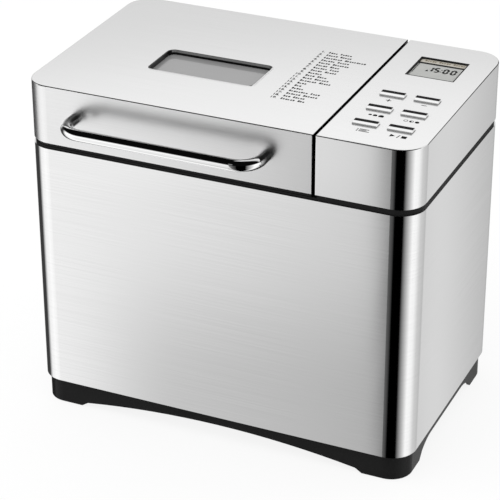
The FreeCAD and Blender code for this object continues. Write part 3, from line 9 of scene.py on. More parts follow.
import bpy
import numpy as np
from mathutils import Matrix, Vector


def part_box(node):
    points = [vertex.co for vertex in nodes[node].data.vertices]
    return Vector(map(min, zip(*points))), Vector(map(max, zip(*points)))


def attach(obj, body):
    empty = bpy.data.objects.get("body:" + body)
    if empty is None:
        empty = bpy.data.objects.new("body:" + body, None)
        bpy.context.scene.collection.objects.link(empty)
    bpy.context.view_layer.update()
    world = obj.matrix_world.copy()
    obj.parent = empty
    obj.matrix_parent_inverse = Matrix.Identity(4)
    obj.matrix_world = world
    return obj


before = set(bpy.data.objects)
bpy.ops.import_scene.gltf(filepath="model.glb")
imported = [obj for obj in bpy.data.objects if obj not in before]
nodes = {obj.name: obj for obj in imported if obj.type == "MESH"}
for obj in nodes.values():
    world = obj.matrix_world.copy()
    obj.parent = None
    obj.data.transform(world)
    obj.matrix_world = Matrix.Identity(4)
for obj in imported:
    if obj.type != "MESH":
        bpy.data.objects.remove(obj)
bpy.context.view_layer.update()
scene = bpy.context.scene
scene.view_settings.view_transform = "Standard"
MM = 0.001

# %% [markdown]
# ## The camera
# The picture was taken from the right and from above with a long lens. The camera turns about a point
# inside the body: azimuth to the right, elevation upwards, a trace of roll, then a shift sideways in the
# picture plane. Writing the three camera axes as rows of a matrix keeps every step visible.

# %% Camera
BODY_CENTER_Y = 15.125
PIVOT = np.array([0.0, BODY_CENTER_Y, 151.9]) * MM
AZIMUTH, ELEVATION, ROLL = np.radians([24.085, 27.925, -0.159])
SHIFT_RIGHT, SHIFT_UP, DISTANCE = -15.121, -11.232, 1876.728
FOCAL_LENGTH, SENSOR_WIDTH, CLIP_START = 149.75, 36, 0.05

right = np.array([math.cos(AZIMUTH), math.sin(AZIMUTH), 0.0])
level_back = np.array([math.sin(AZIMUTH), -math.cos(AZIMUTH), 0.0])
back = level_back * math.cos(ELEVATION) + np.array([0.0, 0.0, math.sin(ELEVATION)])
up = np.cross(back, right)
turned_right = right * math.cos(ROLL) + up * math.sin(ROLL)
turned_up = up * math.cos(ROLL) - right * math.sin(ROLL)
place = PIVOT + (turned_right * SHIFT_RIGHT + turned_up * SHIFT_UP + back * DISTANCE) * MM

lens = bpy.data.cameras.new("camera")
lens.lens = FOCAL_LENGTH
lens.sensor_width = SENSOR_WIDTH
lens.clip_start = CLIP_START
camera = bpy.data.objects.new("camera", lens)
pose = np.eye(4)
pose[:3, :3] = np.stack([turned_right, turned_up, back], axis=1)
pose[:3, 3] = place
camera.matrix_world = Matrix(pose.tolist())
scene.collection.objects.link(camera)
scene.camera = camera
print("camera at", place.round(3))

# %% [markdown]
# ## Mesh helpers
# Every new piece is worked out with whole arrays of points. One helper turns points and faces into an
# object, one numbers the faces of a grid, and one raises flat outlines into thin plates, which is what
# printing ink and display segments are.


# %% Mesh helpers
def mesh_object(name, points, faces):
    """An object at the origin from an array of points in metres and a list of faces."""
    mesh = bpy.data.meshes.new(name)
    mesh.from_pydata(points.tolist(), [], faces)
    mesh.validate()
    mesh.update()
    obj = bpy.data.objects.new(name, mesh)
    scene.collection.objects.link(obj)
    return obj


def grid_faces(rows, columns):
    """Four-sided faces of a rows by columns grid of points, counted row by row."""
    r, c = np.meshgrid(np.arange(rows - 1), np.arange(columns - 1), indexing="ij")
    first = r * columns + c
    corners = [first, first + 1, first + columns + 1, first + columns]
    return np.stack(corners, axis=-1).reshape(-1, 4).tolist()


def prism_faces(corners, count, start):
    """Faces of prisms whose points are a low ring and then a high ring of corners each."""
    ring = np.arange(corners)
    following = np.roll(ring, -1)
    sides = np.stack([ring, following, following + corners, ring + corners], axis=1)
    first = start + 2 * corners * np.arange(count)
    caps = np.stack([ring[::-1], ring + corners])
    side_faces = (sides[None] + first[:, None, None]).reshape(-1, 4)
    cap_faces = (caps[None] + first[:, None, None]).reshape(-1, corners)
    return side_faces.tolist() + cap_faces.tolist()


def plates(name, outlines, low, high):
    """Thin prisms between two heights, in mm. Each array holds outlines with one number of corners,
    anticlockwise, as count by corners by (x, y)."""
    points, faces, start = [], [], 0
    for flat in outlines:
        count, corners, _ = flat.shape
        rings = [np.concatenate([flat, np.full((count, corners, 1), z)], axis=2) for z in (low, high)]
        points.append(np.concatenate(rings, axis=1).reshape(-1, 3))
        faces += prism_faces(corners, count, start)
        start += 2 * corners * count
    return mesh_object(name, np.concatenate(points) * MM, faces)


def rectangles(left, front, width, depth):
    """Outlines of level rectangles. Each value is a number or one number per rectangle."""
    left, front, width, depth = np.broadcast_arrays(*np.atleast_1d(left, front, width, depth))
    across = np.stack([left, left + width, left + width, left], axis=1)
    along = np.stack([front, front, front + depth, front + depth], axis=1)
    return np.stack([across, along], axis=2).astype(float)


# %% [markdown]
# ## Shared surface effects
# Brushed steel is steel with thousands of fine scratches that all run one way. Noise stretched along the
# scratches gives that. Plastics, castings and coatings have a fine grain instead. A third group tells
# which way a face looks, for parts with light or shade painted on one side. Each effect is a node group,
# so that every finish can use it with its own values.


# %% Node group helpers
def new_group(name, inputs, outputs):
    """A shader node group of number sockets. Inputs are given as name and default."""
    group = bpy.data.node_groups.new(name, "ShaderNodeTree")
    for label, default in inputs:
        socket = group.interface.new_socket(label, in_out="INPUT", socket_type="NodeSocketFloat")
        socket.default_value = default
    for label in outputs:
        group.interface.new_socket(label, in_out="OUTPUT", socket_type="NodeSocketFloat")
    return group, group.nodes.new("NodeGroupInput"), group.nodes.new("NodeGroupOutput")


def coordinate(tree, kind):
    """A texture coordinate of the object itself, split in its three numbers."""
    split = tree.nodes.new("ShaderNodeSeparateXYZ")
    tree.links.new(tree.nodes.new("ShaderNodeTexCoord").outputs[kind], split.inputs[0])
    return split.outputs


def calculate(tree, operation, first, second):
    """A math node. Each side is a socket or a number."""
    node = tree.nodes.new("ShaderNodeMath")
    node.operation = operation
    for socket, value in zip(node.inputs, (first, second)):
        if isinstance(value, (int, float)):
            socket.default_value = value
        else:
            tree.links.new(value, socket)
    return node.outputs[0]


def noise(tree, vector, scale, detail):
    """A noise texture's factor. The scale is a socket or a number."""
    node = tree.nodes.new("ShaderNodeTexNoise")
    node.inputs["Detail"].default_value = detail
    tree.links.new(vector, node.inputs["Vector"])
    if isinstance(scale, (int, float)):
        node.inputs["Scale"].default_value = scale
    else:
        tree.links.new(scale, node.inputs["Scale"])
    return node.outputs["Fac"]


# %% Node groups
STREAK_STRETCH = 6.0
GRAIN_SCALES = (("Grain", 1.0, 4.0), ("Blotch", 0.033, 2.0))
LEVEL_FACE, FLAT_FACE, FORWARD_FACE, SIDE_FACE = 0.7, 0.97, -0.7, 0.5
NEARBY = 3 * MM


def brushed_group():
    """Streaks along X on level faces and round the body on upright ones: noise whose coordinate across
    the streaks is multiplied by the fineness, and along them by a small number."""
    tree, given, result = new_group("brushed_streaks", [("Fineness", 900.0)], ["Streak"])
    spot, facing = coordinate(tree, "Object"), coordinate(tree, "Normal")
    level = calculate(tree, "GREATER_THAN", facing["Z"], LEVEL_FACE)
    upright = calculate(tree, "SUBTRACT", 1.0, level)
    across_level = calculate(tree, "MULTIPLY", spot["Y"], level)
    across_wall = calculate(tree, "MULTIPLY", spot["Z"], upright)
    across = calculate(tree, "ADD", across_level, across_wall)
    depth = calculate(tree, "MULTIPLY", spot["Y"], upright)
    vector = tree.nodes.new("ShaderNodeCombineXYZ")
    along = calculate(tree, "MULTIPLY", calculate(tree, "ADD", spot["X"], depth), STREAK_STRETCH)
    tree.links.new(along, vector.inputs["X"])
    tree.links.new(calculate(tree, "MULTIPLY", across, given.outputs["Fineness"]), vector.inputs["Y"])
    tree.links.new(noise(tree, vector.outputs[0], 1.0, 3.0), result.inputs["Streak"])
    return tree


def grain_group():
    """Fine grain at a given fineness, and blotches thirty times larger."""
    tree, given, result = new_group("fine_grain", [("Fineness", 800.0)], ["Grain", "Blotch"])
    spot = tree.nodes.new("ShaderNodeTexCoord").outputs["Object"]
    for label, share, detail in GRAIN_SCALES:
        scale = calculate(tree, "MULTIPLY", given.outputs["Fineness"], share)
        tree.links.new(noise(tree, spot, scale, detail), result.inputs[label])
    return tree


def facing_group():
    """Masks by the way a face looks: Up is 1 where it is level, Front is 1 where it looks forward above a
    given height, and Aside is 1 where it looks sideways within 3 mm of a given place across the machine."""
    sockets = [("Height", 0.0), ("Place", 0.0)]
    tree, given, result = new_group("facing_masks", sockets, ["Up", "Front", "Aside"])
    spot, facing = coordinate(tree, "Object"), coordinate(tree, "Normal")
    tree.links.new(calculate(tree, "GREATER_THAN", facing["Z"], FLAT_FACE), result.inputs["Up"])
    forward = calculate(tree, "LESS_THAN", facing["Y"], FORWARD_FACE)
    higher = calculate(tree, "GREATER_THAN", spot["Z"], given.outputs["Height"])
    tree.links.new(calculate(tree, "MULTIPLY", forward, higher), result.inputs["Front"])
    sideways = calculate(tree, "GREATER_THAN", calculate(tree, "ABSOLUTE", facing["X"], 0.0), SIDE_FACE)
    apart = calculate(tree, "ABSOLUTE", calculate(tree, "SUBTRACT", spot["X"], given.outputs["Place"]), 0.0)
    near = calculate(tree, "LESS_THAN", apart, NEARBY)
    tree.links.new(calculate(tree, "MULTIPLY", sideways, near), result.inputs["Aside"])
    return tree


BRUSHED, GRAIN, FACING = brushed_group(), grain_group(), facing_group()
print("node groups:", BRUSHED.name, GRAIN.name, FACING.name)

# %% [markdown]
# ## Finishes
# A finish is a Principled shader whose colour and roughness run between two values, steered by one of the
# groups, and on some the same pattern is a slight bump. Numbers that don't change over the surface are set
# on the shader's own sockets. Further helpers change a finish where a facing mask is 1.


# %% Finish helper
FINISHES = {}
STREAK, FINE, BLOTCH = (BRUSHED, "Streak"), (GRAIN, "Grain"), (GRAIN, "Blotch")
BUMP_DEPTH = 0.0001


def blend_colors(tree, steer, first, second):
    """A colour between two. Each is a grey level, a colour or a socket. A mix node has one set of sockets
    per data type: inputs 6 and 7 and output 2 are the colours."""
    mix = tree.nodes.new("ShaderNodeMix")
    mix.data_type = "RGBA"
    tree.links.new(steer, mix.inputs[0])
    for socket, color in zip(mix.inputs[6:8], (first, second)):
        if isinstance(color, float):
            socket.default_value = (color, color, color, 1)
        elif isinstance(color, tuple):
            socket.default_value = (*color, 1)
        else:
            tree.links.new(color, socket)
    return mix.outputs[2]


def finish(name, pattern, fineness, colors, roughness, bump=0.0, **sockets):
    """A material between two colours and two roughnesses, steered by a group's output."""
    material = bpy.data.materials.new(name)
    material.use_nodes = True
    tree = material.node_tree
    shader = tree.nodes["Principled BSDF"]
    for label, value in sockets.items():
        shader.inputs[label.replace("_", " ")].default_value = value
    effect = tree.nodes.new("ShaderNodeGroup")
    effect.node_tree, output = pattern
    effect.inputs["Fineness"].default_value = fineness
    steer = effect.outputs[output]
    tree.links.new(blend_colors(tree, steer, *colors), shader.inputs["Base Color"])
    span = tree.nodes.new("ShaderNodeMapRange")
    span.inputs["To Min"].default_value, span.inputs["To Max"].default_value = roughness
    tree.links.new(steer, span.inputs["Value"])
    tree.links.new(span.outputs["Result"], shader.inputs["Roughness"])
    if bump:
        relief = tree.nodes.new("ShaderNodeBump")
        relief.inputs["Strength"].default_value = bump
        relief.inputs["Distance"].default_value = BUMP_DEPTH
        tree.links.new(steer, relief.inputs["Height"])
        tree.links.new(relief.outputs["Normal"], shader.inputs["Normal"])
    FINISHES[name] = material
    return material


# %% Helpers that change a finish in places
def shader_input(material, label):
    """One of the inputs of a material's shader."""
    return material.node_tree.nodes["Principled BSDF"].inputs[label]


def facing_mask(tree, mask, height=0.0, place=0.0):
    """One of the facing masks, placed in a material."""
    masks = tree.nodes.new("ShaderNodeGroup")
    masks.node_tree = FACING
    masks.inputs["Height"].default_value = height
    masks.inputs["Place"].default_value = place
    return masks.outputs[mask]


def lay_over(material, steer, color):
    """Lays a second colour over a finish's own where a mask is 1."""
    tree, base = material.node_tree, shader_input(material, "Base Color")
    tree.links.new(blend_colors(tree, steer, base.links[0].from_socket, color), base)


def paint_lighting_by_facing(material, mask, color, height=0.0, place=0.0, painted_reflection=False):
    """Paints a second colour over a finish where a facing mask is 1: painted shade in the lid gap, a painted
    reflection on the button tops and painted light on the window trim. With the last flag set, the painted
    part isn't metallic.
    """
    tree = material.node_tree
    steer = facing_mask(tree, mask, height, place)
    lay_over(material, steer, color)
    if painted_reflection:
        tree.links.new(calculate(tree, "SUBTRACT", 1.0, steer), shader_input(material, "Metallic"))


def rim(material, color, right, front):
    """Paints light as a second colour over level faces right of one place or in front of another."""
    tree = material.node_tree
    spot = coordinate(tree, "Object")
    beyond_right = calculate(tree, "GREATER_THAN", spot["X"], right)
    beyond_front = calculate(tree, "LESS_THAN", spot["Y"], front)
    beyond = calculate(tree, "MAXIMUM", beyond_right, beyond_front)
    lay_over(material, calculate(tree, "MULTIPLY", facing_mask(tree, "Up"), beyond), color)


def roughen(material, mask, extra):
    """Adds to a finish's roughness where a facing mask is 1."""
    tree, rough = material.node_tree, shader_input(material, "Roughness")
    more = calculate(tree, "MULTIPLY", facing_mask(tree, mask), extra)
    tree.links.new(calculate(tree, "ADD", rough.links[0].from_socket, more), rough)


def scatter(material, mask, share, place=0.0):
    """Lets a share of a metal scatter light evenly where a facing mask is 1, as a brushed face does."""
    tree, metal = material.node_tree, shader_input(material, "Metallic")
    under = metal.links[0].from_socket if metal.links else metal.default_value
    less = calculate(tree, "MULTIPLY", facing_mask(tree, mask, place=place), share)
    tree.links.new(calculate(tree, "SUBTRACT", under, less), metal)


# %% Finishes of the outside
STEEL = {"Metallic": 1.0}
TOP_SCATTER, LEFT_SCATTER, LID_FRONT_ROUGHNESS = 0.18, 0.3, 0.22
# Painted shade on the sides of the lid gap, a painted reflection on the button tops, and painted light on
# the window trim.
GAP_PAINTED_SHADE, BUTTON_PAINTED_REFLECTION, TRIM_PAINTED_LIGHT_WALL, TRIM_PAINTED_LIGHT_RIM = 0.003, 0.004, 0.52, 0.85
GAP_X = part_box("control_cover")[0][0]
# Bounds of the painted light on the window trim: its front and right rims, and forward-looking faces above
# this height.
TRIM_INSET, TRIM_FRONT_HEIGHT = 6.8 * MM, 0.3152
TRIM_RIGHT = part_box("window_trim")[1][0] - TRIM_INSET
TRIM_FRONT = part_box("window_trim")[0][1] + TRIM_INSET
TOP_STEEL = (STREAK, 1600, (0.8, 0.9), (0.07, 0.12))
CHROME = (BLOTCH, 300, (0.86, 0.92), (0.03, 0.06))

wall_steel = finish("wall_steel", STREAK, 1600, (0.77, 0.93), (0.06, 0.11), **STEEL)
scatter(wall_steel, "Aside", LEFT_SCATTER, place=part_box("wrap_shell")[0][0])
lid_steel, cover_steel = (finish(name, *TOP_STEEL, **STEEL) for name in ("lid_steel", "cover_steel"))
for steel in (lid_steel, cover_steel):
    scatter(steel, "Up", TOP_SCATTER)
    # Painted shade: the sides of the gap between the lid and the control cover are painted near-black.
    paint_lighting_by_facing(steel, "Aside", GAP_PAINTED_SHADE, place=GAP_X)
roughen(lid_steel, "Front", LID_FRONT_ROUGHNESS)
scatter(lid_steel, "Aside", LEFT_SCATTER, place=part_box("lid_skin")[0][0])
finish("gloss_black", BLOTCH, 600, (0.01, 0.016), (0.07, 0.12), Specular_IOR_Level=0.05)
finish("matte_black", FINE, 2600, (0.008, 0.016), (0.4, 0.55), bump=0.25, Specular_IOR_Level=0.09)
finish("chrome", *CHROME, **STEEL)
button_chrome = finish("button_chrome", *CHROME, Specular_IOR_Level=0.02, **STEEL)
# Painted reflection: the level tops of the buttons are painted a near-black that isn't metallic, in place of
# a dark reflection.
paint_lighting_by_facing(button_chrome, "Up", BUTTON_PAINTED_REFLECTION, painted_reflection=True)
# Painted light and shade on the window trim: its dark colour is painted shade on the walls and rims of the
# recess, and lighter greys are painted light on forward-looking faces above a height and on the front and
# right rims.
trim = finish("window_trim", BLOTCH, 300, (0.015, 0.03), (0.12, 0.2), **STEEL)
paint_lighting_by_facing(trim, "Front", TRIM_PAINTED_LIGHT_WALL, height=TRIM_FRONT_HEIGHT)
rim(trim, TRIM_PAINTED_LIGHT_RIM, TRIM_RIGHT, TRIM_FRONT)
finish("window_glass", BLOTCH, 200, (0.24, 0.28), (0.1, 0.16), Coat_Weight=0.3)
finish("display_pane", BLOTCH, 2400, ((0.3, 0.31, 0.3), (0.42, 0.42, 0.4)), (0.12, 0.2), Coat_Weight=0.3)
finish("display_strip", BLOTCH, 2400, ((0.42, 0.4, 0.35), (0.5, 0.47, 0.4)), (0.3, 0.45))
finish("display_segment", FINE, 2400, (0.002, 0.006), (0.3, 0.4), Specular_IOR_Level=0.05)
finish("strip_ink", FINE, 2400, ((0.16, 0.13, 0.09), (0.22, 0.18, 0.12)), (0.4, 0.5))
finish("printed_ink", FINE, 3000, (0.004, 0.01), (0.45, 0.6), Specular_IOR_Level=0.05)
print(len(FINISHES), "finishes outside")

# %% Finishes of the inside
finish("black_rubber", FINE, 1800, (0.012, 0.03), (0.7, 0.9), bump=0.3)
finish("grey_silicone", FINE, 1200, (0.3, 0.38), (0.45, 0.6), bump=0.1)
finish("zinc", BLOTCH, 900, (0.55, 0.72), (0.22, 0.4), **STEEL)
finish("oven_steel", BLOTCH, 500, (0.42, 0.55), (0.3, 0.45), bump=0.05, **STEEL)
finish("pan_coating", FINE, 1500, (0.03, 0.11), (0.38, 0.55), bump=0.15, Metallic=0.3)
finish("cast_aluminium", FINE, 900, (0.5, 0.68), (0.35, 0.55), bump=0.3, **STEEL)
finish("bronze", FINE, 1600, ((0.46, 0.3, 0.13), (0.66, 0.46, 0.22)), (0.35, 0.5), bump=0.1, **STEEL)
finish("shaft_steel", BLOTCH, 700, (0.6, 0.74), (0.16, 0.28), **STEEL)
finish("heater_sheath", FINE, 700, ((0.05, 0.045, 0.045), (0.13, 0.1, 0.09)), (0.45, 0.65), bump=0.2)
finish("laminations", STREAK, 3000, (0.16, 0.34), (0.35, 0.55), bump=0.4, **STEEL)
finish("circuit_board", BLOTCH, 2600, ((0.01, 0.09, 0.035), (0.02, 0.16, 0.06)), (0.35, 0.5))
finish("dark_plastic", FINE, 2200, (0.03, 0.05), (0.4, 0.6), bump=0.2)
print(len(FINISHES), "finishes")

# %% [markdown]
# ## Which part has which finish
# Each part of the solid model keeps its own mesh and gets one finish. A table of finish to parts is easier
# to read than a long run of assignments.

# %% Dress the parts
DRESSED = {
    "wall_steel": ["wrap_shell"],
    "lid_steel": ["lid_skin"],
    "cover_steel": ["control_cover"],
    "gloss_black": ["base_tray"],
    "matte_black": [
        "deck_frame", "control_housing", "lid_frame", "rear_panel", "display_bezel", "cord_gland",
    ],
    "chrome": ["lid_handle"],
    "button_chrome": [
        "time_up_button", "loaf_size_button", "menu_button",
        "time_down_button", "crust_button", "start_stop_button",
    ],
    "window_trim": ["window_trim"],
    "window_glass": ["window_glass"],
    "display_pane": ["display_lens", "display_module"],
    "black_rubber": ["rubber_feet", "motor_grommets", "drive_belt"],
    "grey_silicone": ["lid_seal", "window_gasket", "pan_shaft_seal"],
    "zinc": [
        "case_screws", "lid_screws", "chassis_screws", "hinge_pins", "pan_bail", "heater_clips",
        "chassis_plate",
    ],
    "oven_steel": ["baking_chamber", "lid_liner"],
    "pan_coating": ["bread_pan", "kneading_paddle"],
    "cast_aluminium": [
        "pan_seat", "pan_base_ring", "bearing_housing", "pan_dog", "drive_dog", "drive_pulley",
        "motor_pulley", "motor_end_bells",
    ],
    "bronze": ["pan_bush", "bearing_bushes"],
    "shaft_steel": ["pan_shaft", "drive_shaft", "motor_rotor", "temperature_sensor"],
    "heater_sheath": ["heating_element"],
    "laminations": ["motor_stator"],
    "circuit_board": ["control_board", "power_board"],
    "dark_plastic": ["button_switches", "run_capacitor", "thermal_cutout"],
}


def dress(obj, label):
    """Gives an object one finish and no other."""
    obj.data.materials.clear()
    obj.data.materials.append(FINISHES[label])


for label, names in DRESSED.items():
    for name in names:
        dress(nodes[name], label)
print(sum(len(names) for names in DRESSED.values()), "parts dressed")

# %% [markdown]
# ## The list on the lid
# Beside the window a list of nineteen programs is printed in dark ink. The numbers are plain numerals, made
# as text and turned into a mesh. The names are left as rows of small plain blocks, in the rhythm of short
# words: a tall block first, then lower ones. Ink is a real layer, so each block is a plate 0.05 mm thick.

# %% Program list
INK = 0.05
lid_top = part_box("lid_skin")[1][2] / MM
ROW_PITCH = 6.0
FIRST_ROW_Y = BODY_CENTER_Y + 52.4
WORDS = [
    (4, 5), (5, 5), (8, 9), (6, 5), (5, 7), (5, 4), (6, 4), (5, 5), (6,), (4, 4), (4, 6),
    (7, 5), (4,), (3,), (5,), (8, 4), (6, 6), (3, 5), (6, 3),
]
LIST_LEFT = 36.2
LETTER_PITCH, BLOCK_WIDTH, TALL, SHORT = 2.2, 1.5, 3.2, 2.2
WIDTH_CHANGE, HEIGHT_CHANGE = 0.25, 0.3


def row_of_blocks(words, left, front):
    """Blocks of a row: letters are evenly spaced, with a gap of one letter between words. Widths change a
    little by a sine of the place in the row, and low blocks' heights by a cosine."""
    sizes = np.array(words)
    starts = np.concatenate([[0], np.cumsum(sizes[:-1] + 1)])
    step = np.concatenate([start + np.arange(size) for start, size in zip(starts, sizes)])
    wobble = WIDTH_CHANGE * np.sin(2.4 * step + front)
    heights = np.where(np.isin(step, starts), TALL, SHORT + HEIGHT_CHANGE * np.cos(1.9 * step + front))
    return rectangles(left + step * LETTER_PITCH, front, BLOCK_WIDTH + wobble, heights)


rows_front = FIRST_ROW_Y - ROW_PITCH * np.arange(len(WORDS))
blocks = np.concatenate([row_of_blocks(words, LIST_LEFT, front) for words, front in zip(WORDS, rows_front)])
program_list = plates("program_list", [blocks], lid_top, lid_top + INK)
dress(program_list, "printed_ink")
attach(program_list, "lid")
print("program list:", len(blocks), "blocks in", len(WORDS), "rows")


# %% Program numbers
NUMBER_RIGHT, NUMBER_SIZE, INK_SPREAD = 32.4, 5.0, 0.12


def numerals(name, lines, right_edge, base, size, pitch, z):
    """A column of numbers as a thin mesh. Text comes out around its own origin, so every point is shifted
    once."""
    curve = bpy.data.curves.new(name, "FONT")
    curve.body = "\n".join(lines)
    curve.align_x = "RIGHT"
    curve.size = size * MM
    curve.space_line = pitch / size
    curve.extrude = INK / 2 * MM
    curve.offset = INK_SPREAD * MM
    curve.resolution_u = 3
    holder = bpy.data.objects.new(name, curve)
    scene.collection.objects.link(holder)
    evaluated = holder.evaluated_get(bpy.context.evaluated_depsgraph_get())
    mesh = bpy.data.meshes.new_from_object(evaluated)
    bpy.data.objects.remove(holder)
    points = np.empty(3 * len(mesh.vertices))
    mesh.vertices.foreach_get("co", points)
    points = points.reshape(-1, 3) + np.array([right_edge, base, z + INK / 2]) * MM
    mesh.vertices.foreach_set("co", points.ravel())
    mesh.name = name
    obj = bpy.data.objects.new(name, mesh)
    scene.collection.objects.link(obj)
    return obj


labels = [f"{number}." for number in range(1, len(WORDS) + 1)]
program_numbers = numerals(
    "program_numbers", labels, NUMBER_RIGHT, FIRST_ROW_Y, NUMBER_SIZE, ROW_PITCH, lid_top
)
dress(program_numbers, "printed_ink")
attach(program_numbers, "lid")
print("program numbers:", len(program_numbers.data.polygons), "faces")

# %% [markdown]
# ## Marks under the buttons
# Each button has a small printed mark in front of it. Plain signs do the work of words: plus and minus for
# the time, three loaves for the size, three discs for the crust, a short list for the menu, and a triangle
# and a square for start and stop.


# %% Button marks
def circle(radius, turn=2 * math.pi, start=0.0, count=24):
    """Points round an arc about the origin."""
    angle = start + np.linspace(0, turn, count, endpoint=turn < 2 * math.pi)
    return radius * np.stack([np.cos(angle), np.sin(angle)], axis=1)


def loaf(width, height):
    """A loaf seen from its end: straight sides under a wide dome, which is half of a flattened circle."""
    dome = circle(1.0, math.pi) * np.array([width / 2, height * 0.55]) + np.array([0, height * 0.45])
    feet = np.array([[-0.42 * width, 0], [0.42 * width, 0]])
    return np.concatenate([dome, feet])


def ring(radius, line):
    """A circle line as four-sided patches between an outer and an inner circle."""
    outer, inner = circle(radius), circle(radius - line)
    return np.stack([outer, np.roll(outer, -1, axis=0), np.roll(inner, -1, axis=0), inner], axis=1)


ARM, LINE = 2.4, 0.45
PLUS = np.array(
    [[-ARM, -LINE], [-LINE, -LINE], [-LINE, -ARM], [LINE, -ARM], [LINE, -LINE], [ARM, -LINE],
     [ARM, LINE], [LINE, LINE], [LINE, ARM], [-LINE, ARM], [-LINE, LINE], [-ARM, LINE]]
)
DISC_RADIUS, DISC_LINE, DISC_PITCH = 1.9, 0.5, 4.9
DISC_STEPS = DISC_PITCH * np.array([[-1.0, 0.0], [0.0, 0.0], [1.0, 0.0]])
# Middle of each mark, measured from the middle of the body.
MARK_PLACES = {
    "plus": (120.6, -22.3), "minus": (151.4, -20.6), "loaves": (121.6, -55.1),
    "discs": (152.8, -54.9), "menu": (122.6, -86.8), "start": (153.0, -86.6),
}
spot = {label: np.array([x, BODY_CENTER_Y + y]) for label, (x, y) in MARK_PLACES.items()}

loaf_sizes = ((3.0, -4.8), (3.9, -0.5), (4.8, 4.9))
loaves = np.stack([loaf(width, 0.85 * width) + np.array([x, -0.4 * width]) for width, x in loaf_sizes])
discs = np.concatenate([ring(DISC_RADIUS, DISC_LINE) + step for step in DISC_STEPS])
half_fill = circle(DISC_RADIUS - DISC_LINE, math.pi, math.pi / 2)
full_fill = circle(DISC_RADIUS - DISC_LINE) + DISC_STEPS[2]
MENU_ROWS, MENU_WIDTHS, MENU_LINE = np.array([-2.4, -0.45, 1.5]), np.array([9.0, 6.4, 8.0]), 0.95
menu_bars = rectangles(-3.2, MENU_ROWS, MENU_WIDTHS, MENU_LINE)
menu_dots = rectangles(-5.4, MENU_ROWS, 1.1, MENU_LINE)
start_sign = np.array([[[-7.0, -2.5], [-2.6, 0], [-7.0, 2.5]]])
slash = np.array([[[-0.9, -2.8], [-0.1, -2.8], [1.1, 2.8], [0.3, 2.8]]])
stop_sign = rectangles(2.8, -2.2, 4.4, 4.4)
marks = [
    PLUS[None] + spot["plus"],
    rectangles(-ARM, -LINE, 2 * ARM, 2 * LINE) + spot["minus"],
    loaves + spot["loaves"],
    discs + spot["discs"],
    np.stack([half_fill, full_fill]) + spot["discs"],
    np.concatenate([menu_bars, menu_dots]) + spot["menu"],
    start_sign + spot["start"],
    np.concatenate([slash, stop_sign]) + spot["start"],
]
cover_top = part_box("control_cover")[1][2] / MM
button_marks = plates("button_marks", marks, cover_top, cover_top + INK)
dress(button_marks, "printed_ink")
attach(button_marks, "housing")
print("button marks:", len(button_marks.data.polygons), "faces")

# %% [markdown]
# ## The display
# The display is a grey pane with a pale strip along its rear edge, a dark line under the strip, and the time
# in seven-segment figures. A segment is a bar with pointed ends, so each lit segment is one outline with six
# corners, taken from a small table of which segments make which figure.

# %% Display
pane_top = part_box("display_lens")[1][2] / MM
PANE_LEFT, PANE_RIGHT = 114.8, 156.6
STRIP_FRONT, STRIP_DEPTH = BODY_CENTER_Y + 70.9, 6.7
LINE_DEPTH = 3.2
STRIP_WORD, STRIP_WORD_LEFTS, STRIP_WORD_INSET = (5,), (118.5, 131.5, 144.5), 2.4
SIDE_LINE_INSET, SIDE_LINE_WIDTH, SIDE_LINE_DEPTH, SIDE_LINE_REACH = 0.9, 0.5, 20.5, 21.0
FIGURES, FIGURE_LEFTS = "1500", (126.5, 132.4, 140.5, 147.4)
COLON_LEFT, COLON_RISES, COLON_DOT = 138.3, np.array([2.2, 6.4]), 1.3
DIGIT_FRONT, DIGIT_WIDTH, DIGIT_HEIGHT, SEGMENT = BODY_CENTER_Y + 52.8, 5.4, 10.6, 2.0

strip_outline = rectangles(PANE_LEFT, STRIP_FRONT, PANE_RIGHT - PANE_LEFT, STRIP_DEPTH)
strip = plates("display_strip", [strip_outline], pane_top, pane_top + INK)
dress(strip, "display_strip")
strip_rows = np.concatenate(
    [row_of_blocks(STRIP_WORD, left, STRIP_FRONT + STRIP_WORD_INSET) for left in STRIP_WORD_LEFTS]
)
strip_print = plates("display_strip_print", [strip_rows], pane_top + INK, pane_top + 2 * INK)
dress(strip_print, "strip_ink")

# Segments in the order top, upper right, lower right, bottom, lower left, upper left, middle.
HALF = (DIGIT_HEIGHT - SEGMENT) / 2
ACROSS = DIGIT_WIDTH - SEGMENT
MIDDLES = np.array([
    [ACROSS / 2, 2 * HALF], [ACROSS, 1.5 * HALF], [ACROSS, 0.5 * HALF], [ACROSS / 2, 0],
    [0, 0.5 * HALF], [0, 1.5 * HALF], [ACROSS / 2, HALF],
])
LEVEL = np.array([True, False, False, True, False, False, True])
LIT = {"1": [1, 2], "5": [0, 2, 3, 5, 6], "0": [0, 1, 2, 3, 4, 5]}
LEVEL_SHARE, UPRIGHT_SHARE = 0.98, 0.97
POINTED = np.array([[-1, 0], [-0.72, -1], [0.72, -1], [1, 0], [0.72, 1], [-0.72, 1]])


def figure(digit, left):
    """The lit segments of a figure: a bar with pointed ends, turned upright where the segment is."""
    lit = LIT[digit]
    level_bar = POINTED * np.array([ACROSS / 2 * LEVEL_SHARE, SEGMENT / 2])
    upright_bar = (POINTED * np.array([HALF / 2 * UPRIGHT_SHARE, SEGMENT / 2]))[:, ::-1] * np.array([-1, 1])
    bars = np.where(LEVEL[lit][:, None, None], level_bar, upright_bar)
    return bars + MIDDLES[lit][:, None] + np.array([left + SEGMENT / 2, DIGIT_FRONT + SEGMENT / 2])


